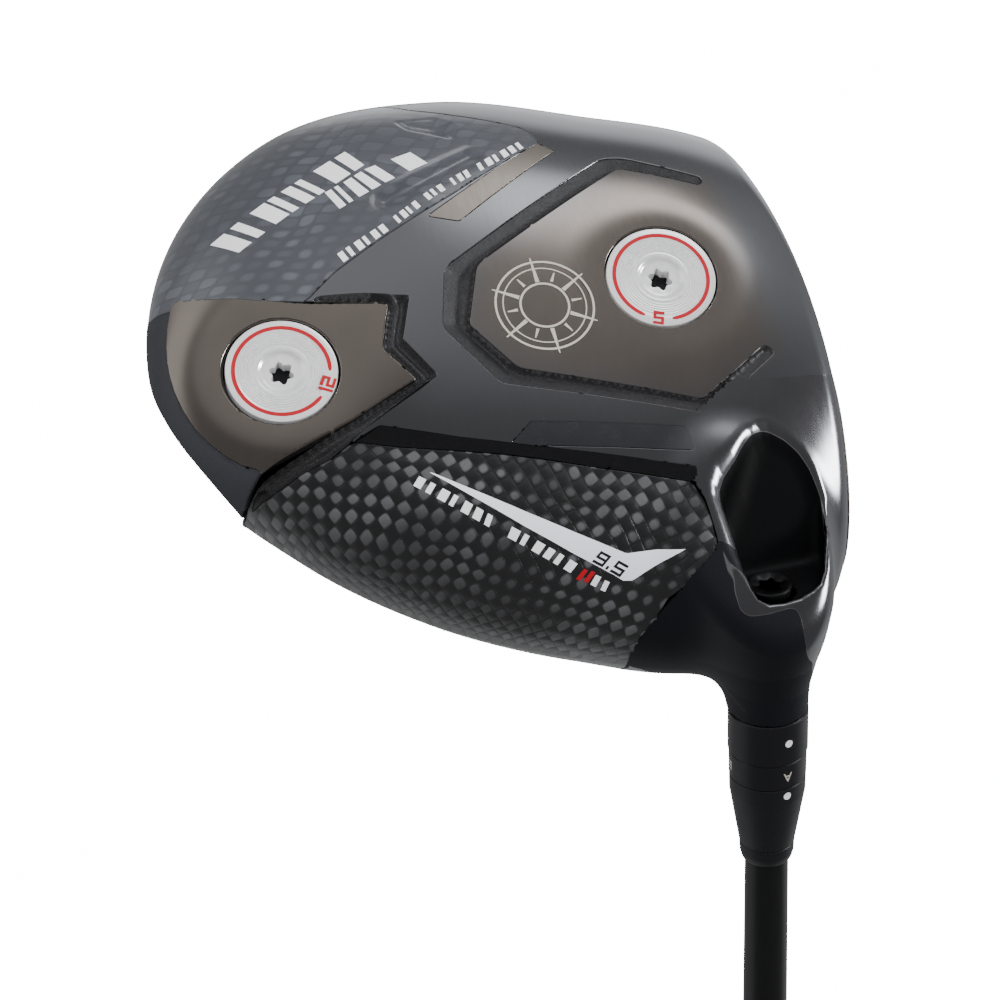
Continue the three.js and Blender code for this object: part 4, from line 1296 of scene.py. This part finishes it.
loft = stroke_quads("9.5", 1.75, 0.42, 1.6, 0.55, 0.25)
reading = np.array([-3.8, 4.9]) / math.hypot(3.8, 4.9)
rising = np.array([0.72, 0.70])
loft_quads = [[np.array([2.55, -28.75]) + q[0] * reading + q[1] * rising for q in quad] for quad in loft]
quad_film("loft_number", loft_quads, ink_black, "silver_foil", 0.11, panel_lift, 0.8)
CAPTION_LOW = [(24.2, -61.2), (18.5, -54.8), (12.8, -48.3), (7.4, -41.6), (2.6, -35.6)]
CAPTION_HIGH = [(25.5, -59.8), (19.9, -53.4), (14.4, -47.3), (8.5, -40.1), (3.6, -34.1)]
quad_film("heel_caption_marks", row_of_marks(CAPTION_LOW, CAPTION_HIGH, words((7, 6))), ink_white,
          "heel_carbon", 0.07, panel_lift)
quad_film("heel_caption_end", [[(0.5, -32.8), (-0.1, -31.9), (1.0, -30.7), (1.6, -31.6)],
                               [(-0.7, -31.1), (-1.2, -30.3), (-0.1, -29.3), (0.4, -30.1)]], ink_white,
          "heel_carbon", 0.07, panel_lift)
quad_film("red_slash_marks", [[(1.9, -35.3), (1.5, -34.5), (2.6, -32.9), (3.0, -33.6)],
                              [(1.25, -34.0), (0.85, -33.2), (1.95, -31.6), (2.35, -32.3)]], ink_red,
          "heel_carbon", 0.08, panel_lift)
LINE_1 = ([(78.5, -80.3), (83.5, -69.6), (86.7, -61.9), (92.0, -50.6)],
          [(82.7, -84.5), (87.9, -73.2), (91.0, -65.4), (96.4, -52.8)])
LINE_2 = ([(82.0, -60.1), (83.7, -55.8), (85.8, -50.1), (89.0, -39.6)],
          [(86.5, -61.7), (87.9, -57.7), (89.9, -53.0), (92.3, -41.9)])
CAPTION = ([(70.1, -62.6), (75.6, -51.0), (80.6, -41.9), (84.2, -32.5), (89.3, -20.5)],
           [(72.2, -63.3), (77.3, -51.7), (82.1, -42.6), (86.0, -32.8), (91.0, -21.1)])
for size, lines, marks in (("large", LINE_1, words((8,), (0.7, 0.42, 0.78, 0.5))),
                           ("middle", LINE_2, words((6,), (0.66, 0.4, 0.74))),
                           ("small", CAPTION, words((6, 4, 3, 3, 6)))):
    quad_film("toe_marks_" + size, row_of_marks(*lines, marks), ink_white, "toe_carbon")

EMBLEM = (53.1, -28.2)


def emblem_ring(name, radius, width):
    outer, inner = [ring_outline(*EMBLEM, r, 120) for r in (radius + width / 2, radius - width / 2)]
    p, n = on_sole(*np.array(outer + inner).T)
    count = len(outer)
    thick = 0.05
    top, low = p + n * (thick + 0.02), p + n * 0.01
    vertices = np.concatenate([top, low])
    faces = []
    for k in range(count):
        j = (k + 1) % count
        for a, b, flip in ((k, j, False), (k + 2 * count, j + 2 * count, True)):
            quad = (a, a + count, b + count, b)
            faces.append(quad[::-1] if flip else quad)
        faces.append((k, j, j + 2 * count, k + 2 * count))
        faces.append((j + count, k + count, k + 3 * count, j + 3 * count))
    obj = add_mesh(name, vertices, faces, ink_cream, smooth=False)
    fit_out(obj, "head", "polished_body")


emblem_ring("emblem_ring_outer", 9.3, 0.42)
emblem_ring("emblem_ring_middle", 7.9, 0.25)
emblem_ring("emblem_ring_inner", 4.6, 0.42)
ticks_of_emblem = []
for k in range(12):
    angle = k / 12 * 2 * math.pi
    c, s = math.cos(angle), math.sin(angle)
    first, last, half = (5.3, 7.3, 0.3) if k % 2 else (5.0, 10.3, 0.4)
    corners = [(first, -half), (last, -0.12), (last, 0.12), (first, half)]
    ticks_of_emblem.append([(EMBLEM[0] + r * c - o * s, EMBLEM[1] + r * s + o * c) for r, o in corners])
quad_film("emblem_ticks", ticks_of_emblem, ink_cream, "polished_body", 0.06)


# ---- hosel, shaft and grip ----------------------------------------------------------------------------
def hosel_part(name, rings, material, body, slot, node, segments=128, closed=False):
    return fit_out(spun(name, rings, material, HOSEL, segments, 30, closed), body, slot, node)


def eased(points, r=0.2):
    """A profile with each corner cut back by r."""
    out = [points[0]]
    for a, b, c in zip(points, points[1:], points[2:]):
        a, b, c = [np.array(q, float) for q in (a, b, c)]
        for other in (a, c):
            d = other - b
            length = np.linalg.norm(d)
            out.append(tuple(b + d / length * min(r, 0.4 * length)))
    out.append(points[-1])
    return out


hosel_part("hosel_collar_ring", eased([(6.6, 40.1), (7.65, 40.1), (7.65, 49.3), (6.6, 49.3), (6.6, 40.2)]),
           anodised, "head", "hosel_black", "hosel_collar")
hosel_part("index_ring_band", eased([(5.65, 49.42), (7.45, 49.42), (7.4, 55.0), (5.65, 55.0), (5.65, 49.6)]),
           anodised, "index_ring", "hosel_black", "index_ring")
hosel_part("taper_sleeve", eased([(2.7, 22.3), (5.3, 22.3), (5.3, 55.12), (7.35, 55.12), (7.3, 58.6),
                                  (5.35, 71.0), (4.3, 71.0), (4.3, 38.1), (2.7, 38.1), (2.7, 22.5)], 0.15),
           sleeve_black, "shaft_assembly", "hosel_black", "shaft_sleeve")
ferrule_rings = [(4.3, 71.1), (5.3, 71.1), (5.25, 73.2), (4.9, 74.6), (4.35, 75.2), (4.3, 74.9)]
hosel_part("ferrule_ring", eased(ferrule_rings, 0.12), sleeve_black, "shaft_assembly", "black_nylon",
           "ferrule")


def shaft_radius(z):
    return np.interp(z, [0, 272, 1075, 1155], [7.5, 7.5, 4.2, 4.2])


shaft_rings = [(float(shaft_radius(z)), float(z)) for z in np.linspace(5, 1116.4, 90)]
shaft_rings = [(6.3, 5.0)] + shaft_rings + [(2.9, 1116.4), (2.9, 1090), (6.2, 272)]
fit_out(spun("carbon_shaft_tube", shaft_rings, shaft_paint, CLUB, 96, 30, closed=True), "shaft_assembly",
        "carbon_shaft", "shaft")
hosel_part("shaft_tip_plug", eased([(0, 39.0), (2.75, 39.0), (2.75, 46.4), (0, 46.4)], 0.3), nylon,
           "shaft_assembly", "black_nylon", "tip_plug")

screw_rings = [(0, 15.2), (lobed(TORX - 0.2), 15.2), (lobed(TORX), 12.9), (3.1, 12.45), (3.9, 12.4),
               (4.15, 12.55), (4.3, 12.85), (4.3, 16.8), (2.4, 16.9), (2.4, 33.6), (2.0, 34.0), (0, 34.0)]
hosel_part("hosel_bolt", screw_rings, steel_dark, "hosel_screw", "screw_steel", "hosel_screw", 96)
hosel_part("bolt_washer", eased([(2.6, 17.0), (4.3, 17.0), (4.3, 17.75), (2.6, 17.75), (2.6, 17.1)], 0.08),
           steel_dark, "screw_carrier", "screw_steel", "screw_washer")
hosel_part("bolt_retainer", eased([(2.55, 20.9), (4.3, 20.9), (4.3, 21.9), (2.55, 21.9), (2.55, 21.0)], 0.1),
           nylon, "hosel_screw", "black_nylon", "screw_retainer")
for name, weight in (("front_weight", FRONT_WEIGHT), ("rear_weight", REAR_WEIGHT)):
    rings = eased([(3.15, 5.16), (5.5, 5.16), (5.5, 5.84), (3.15, 5.84), (3.15, 5.2)], 0.1)
    washer = spun(name + "_washer_ring", rings, nylon, weight_place(weight), 64, 30)
    fit_out(washer, name + "_carrier", "black_nylon", name + "_washer")


def grip_radius(z):
    return np.interp(z, [4.3, 10, 30, 90, 160, 220, 266, 268], [13.0, 13.3, 12.7, 11.4, 10.2, 9.3, 8.8, 8.4])


grip_rings = []
for z in np.arange(4.3, 268, 1.1):
    swirl = 0.16 * (math.sin(z * 1.9) > 0.2) if 14 < z < 255 else 0.0
    grip_rings.append((float(grip_radius(z)) - swirl, float(z)))
grip_rings = [(7.9, 4.4)] + grip_rings + [(8.35, 268.0), (7.9, 267.8)]
cap_rings = [(0, 0.0), (1.2, 0.0), (1.5, 0.4), (9.5, 0.4), (10.2, 0.0), (11.2, 0.05), (12.4, 1.0),
             (12.8, 2.2), (12.8, 3.9), (0, 3.9)]
tape_rings = [(7.58, 7.2), (7.8, 7.2), (7.8, 262), (7.58, 262)]
for name, rings, look, segments, closed, slot, node in (
        ("rubber_grip", grip_rings, rubber, 72, True, "grip_rubber", "grip"),
        ("butt_cap", cap_rings, rubber, 96, False, "grip_rubber", "grip_cap"),
        ("tape_layer", tape_rings, tape, 64, True, "grip_tape", "grip_tape")):
    fit_out(spun(name, rings, look, CLUB, segments, 30, closed), "shaft_assembly", slot, node)


def around_hosel(name, v, faces, radius, height, angle, material, body):
    """Raised letters or a mark wrapped on the hosel; angle is measured from world -Y towards +X."""
    a = math.radians(angle) - v[:, 0] / radius
    r = radius + v[:, 2]
    p = np.stack([r * np.sin(a), r * np.cos(a), height + v[:, 1]], -1)
    obj = add_mesh(name, p, faces, material, HOSEL, smooth=False)
    return fit_out(obj, body, "hosel_black")


MARK_ANGLE = 10.5
DOT_RADIUS = 0.78


def dot(name, radius, height, body):
    count = 40
    v = [(x, y, depth) for depth in (-0.1, 0.05) for x, y in ring_outline(0, 0, DOT_RADIUS, count)]
    faces = [[k, (k + 1) % count, count + (k + 1) % count, count + k] for k in range(count)]
    faces += [list(range(count))[::-1], list(range(count, 2 * count))]
    around_hosel(name, np.array(v), faces, radius, height, MARK_ANGLE, ink_white, body)


dot("collar_dot", 7.65, 44.3, "head")
dot("sleeve_dot", 7.33, 56.7, "shaft_assembly")
for text, angle in (("A", MARK_ANGLE), ("B", -92)):
    v, faces = letters("ring_" + text, text, 2.7, 0.1, 0.03)
    around_hosel("ring_letter_" + text, v, faces, 7.42, 52.2, angle, ink_cream, "index_ring")


# ---- stage, lights and camera ---------------------------------------------------------------------------
PALE = (0.9, 0.9, 0.9)
STAGE_GLOW = 17.0
HEAD_AT = (0.03, 0.0, 1.16)


def stage_piece(name, mesh, hidden_from, at=(0, 0, 0)):
    """A pale glowing piece of the stage that some kinds of ray don't see."""
    look = Look(name + "_pale", PALE, 0.0, 0.9, Emission_Color=(*PALE, 1), Emission_Strength=STAGE_GLOW)
    mesh.materials.append(look.material)
    obj = bpy.data.objects.new(name, mesh)
    bpy.context.scene.collection.objects.link(obj)
    obj.location = at
    for ray in hidden_from:
        setattr(obj, "visible_" + ray, False)


def floor_mesh(half):
    mesh = bpy.data.meshes.new("floor")
    mesh.from_pydata([(-half, -half, 0), (half, -half, 0), (half, half, 0), (-half, half, 0)], [],
                     [(0, 1, 2, 3)])
    return mesh


stage_piece("floor", floor_mesh(30), ("glossy", "diffuse"), (0, 0, -0.0005))


def softbox(name, at, size, power):
    light = bpy.data.lights.new(name, "AREA")
    light.shape = "RECTANGLE"
    light.size, light.size_y = size
    light.energy = power
    obj = bpy.data.objects.new(name, light)
    bpy.context.scene.collection.objects.link(obj)
    obj.location = at
    obj.rotation_euler = (Vector(at) - Vector(HEAD_AT)).to_track_quat("Z", "Y").to_euler()
    obj.visible_camera = False
    obj.visible_glossy = False


def studio_sky(base, steps, glows):
    """A soft studio surround: radiance by direction, from ramps along +Y and round glows."""
    world = bpy.data.worlds.new("studio")
    bpy.context.scene.world = world
    world.use_nodes = True
    nodes, links = world.node_tree.nodes, world.node_tree.links
    place = nodes.new("ShaderNodeTexCoord")

    def along(direction, low, high, amount):
        dot = nodes.new("ShaderNodeVectorMath")
        dot.operation = "DOT_PRODUCT"
        dot.inputs[1].default_value = Vector(direction).normalized()
        links.new(place.outputs["Generated"], dot.inputs[0])
        ramp = nodes.new("ShaderNodeMapRange")
        ramp.interpolation_type = "SMOOTHSTEP"
        for key, value in (("From Min", low), ("From Max", high), ("To Min", 0), ("To Max", amount)):
            ramp.inputs[key].default_value = value
        links.new(dot.outputs["Value"], ramp.inputs["Value"])
        return ramp.outputs["Result"]

    parts = [along(*step) for step in steps]
    parts += [along(direction, math.cos(math.radians(outer)), math.cos(math.radians(inner)), amount)
              for direction, inner, outer, amount in glows]
    total = None
    for part in parts:
        add = nodes.new("ShaderNodeMath")
        add.operation = "ADD"
        links.new(part, add.inputs[0])
        if total is None:
            add.inputs[1].default_value = base
        else:
            links.new(total, add.inputs[1])
        total = add.outputs[0]
    ground = nodes["Background"]
    ground.inputs["Color"].default_value = (0.97, 0.985, 1.0, 1)
    links.new(total, ground.inputs["Strength"])


# Ramps are (direction, from, to, radiance); glows are (direction, inner degrees, outer degrees, radiance).
SKY_RAMPS = [((0, 1, 0), -0.30, 0.04, 0.36), ((0, 1, 0), 0.3, 0.62, -0.22)]
SKY_GLOWS = [((0.40, 0.16, 0.90), 4, 13, 3.0), ((0.90, -0.32, 0.31), 0, 11.5, 38.0),
             ((0.5, 0.85, 0.15), 10, 30, 1.3), ((-0.75, 0.25, 0.61), 12, 34, 0.6),
             ((-0.02, -0.08, 1.0), 5, 18, 0.2)]
studio_sky(0.24, SKY_RAMPS, SKY_GLOWS)
softbox("key_soft", (-0.40, -0.85, 2.50), (1.4, 1.4), 40.0)


def shell_mesh(radius):
    mesh = bpy.data.meshes.new("backdrop")
    bm = bmesh.new()
    bmesh.ops.create_uvsphere(bm, u_segments=48, v_segments=24, radius=radius)
    bm.to_mesh(mesh)
    bm.free()
    return mesh


# A pale shell far around the scene, seen by the camera only.
stage_piece("backdrop", shell_mesh(29.0), ("glossy", "diffuse", "shadow", "transmission"))

AZIMUTH, ELEVATION, ROLL = math.radians(-16.9), math.radians(32.7), math.radians(1.6)
CAMERA_OFFSET = (49.62, -4.96, -827.0)
toward = Vector((math.sin(AZIMUTH) * math.cos(ELEVATION), -math.cos(AZIMUTH) * math.cos(ELEVATION),
                 math.sin(ELEVATION)))
level_right = (-toward).cross(Vector((0, 0, 1))).normalized()
level_up = level_right.cross(-toward)
right = level_right * math.cos(ROLL) - level_up * math.sin(ROLL)
up = level_up * math.cos(ROLL) + level_right * math.sin(ROLL)
eye = HEAD.translation - (right * CAMERA_OFFSET[0] + up * CAMERA_OFFSET[1] + toward * CAMERA_OFFSET[2]) * MM
camera_data = bpy.data.cameras.new("camera")
camera_data.lens = 162
camera_data.sensor_width = 36
camera_data.clip_start = 0.05
camera = bpy.data.objects.new("camera", camera_data)
bpy.context.scene.collection.objects.link(camera)
camera.matrix_world = Matrix((
    (right.x, up.x, toward.x, eye.x), (right.y, up.y, toward.y, eye.y), (right.z, up.z, toward.z, eye.z),
    (0, 0, 0, 1)))
bpy.context.scene.camera = camera
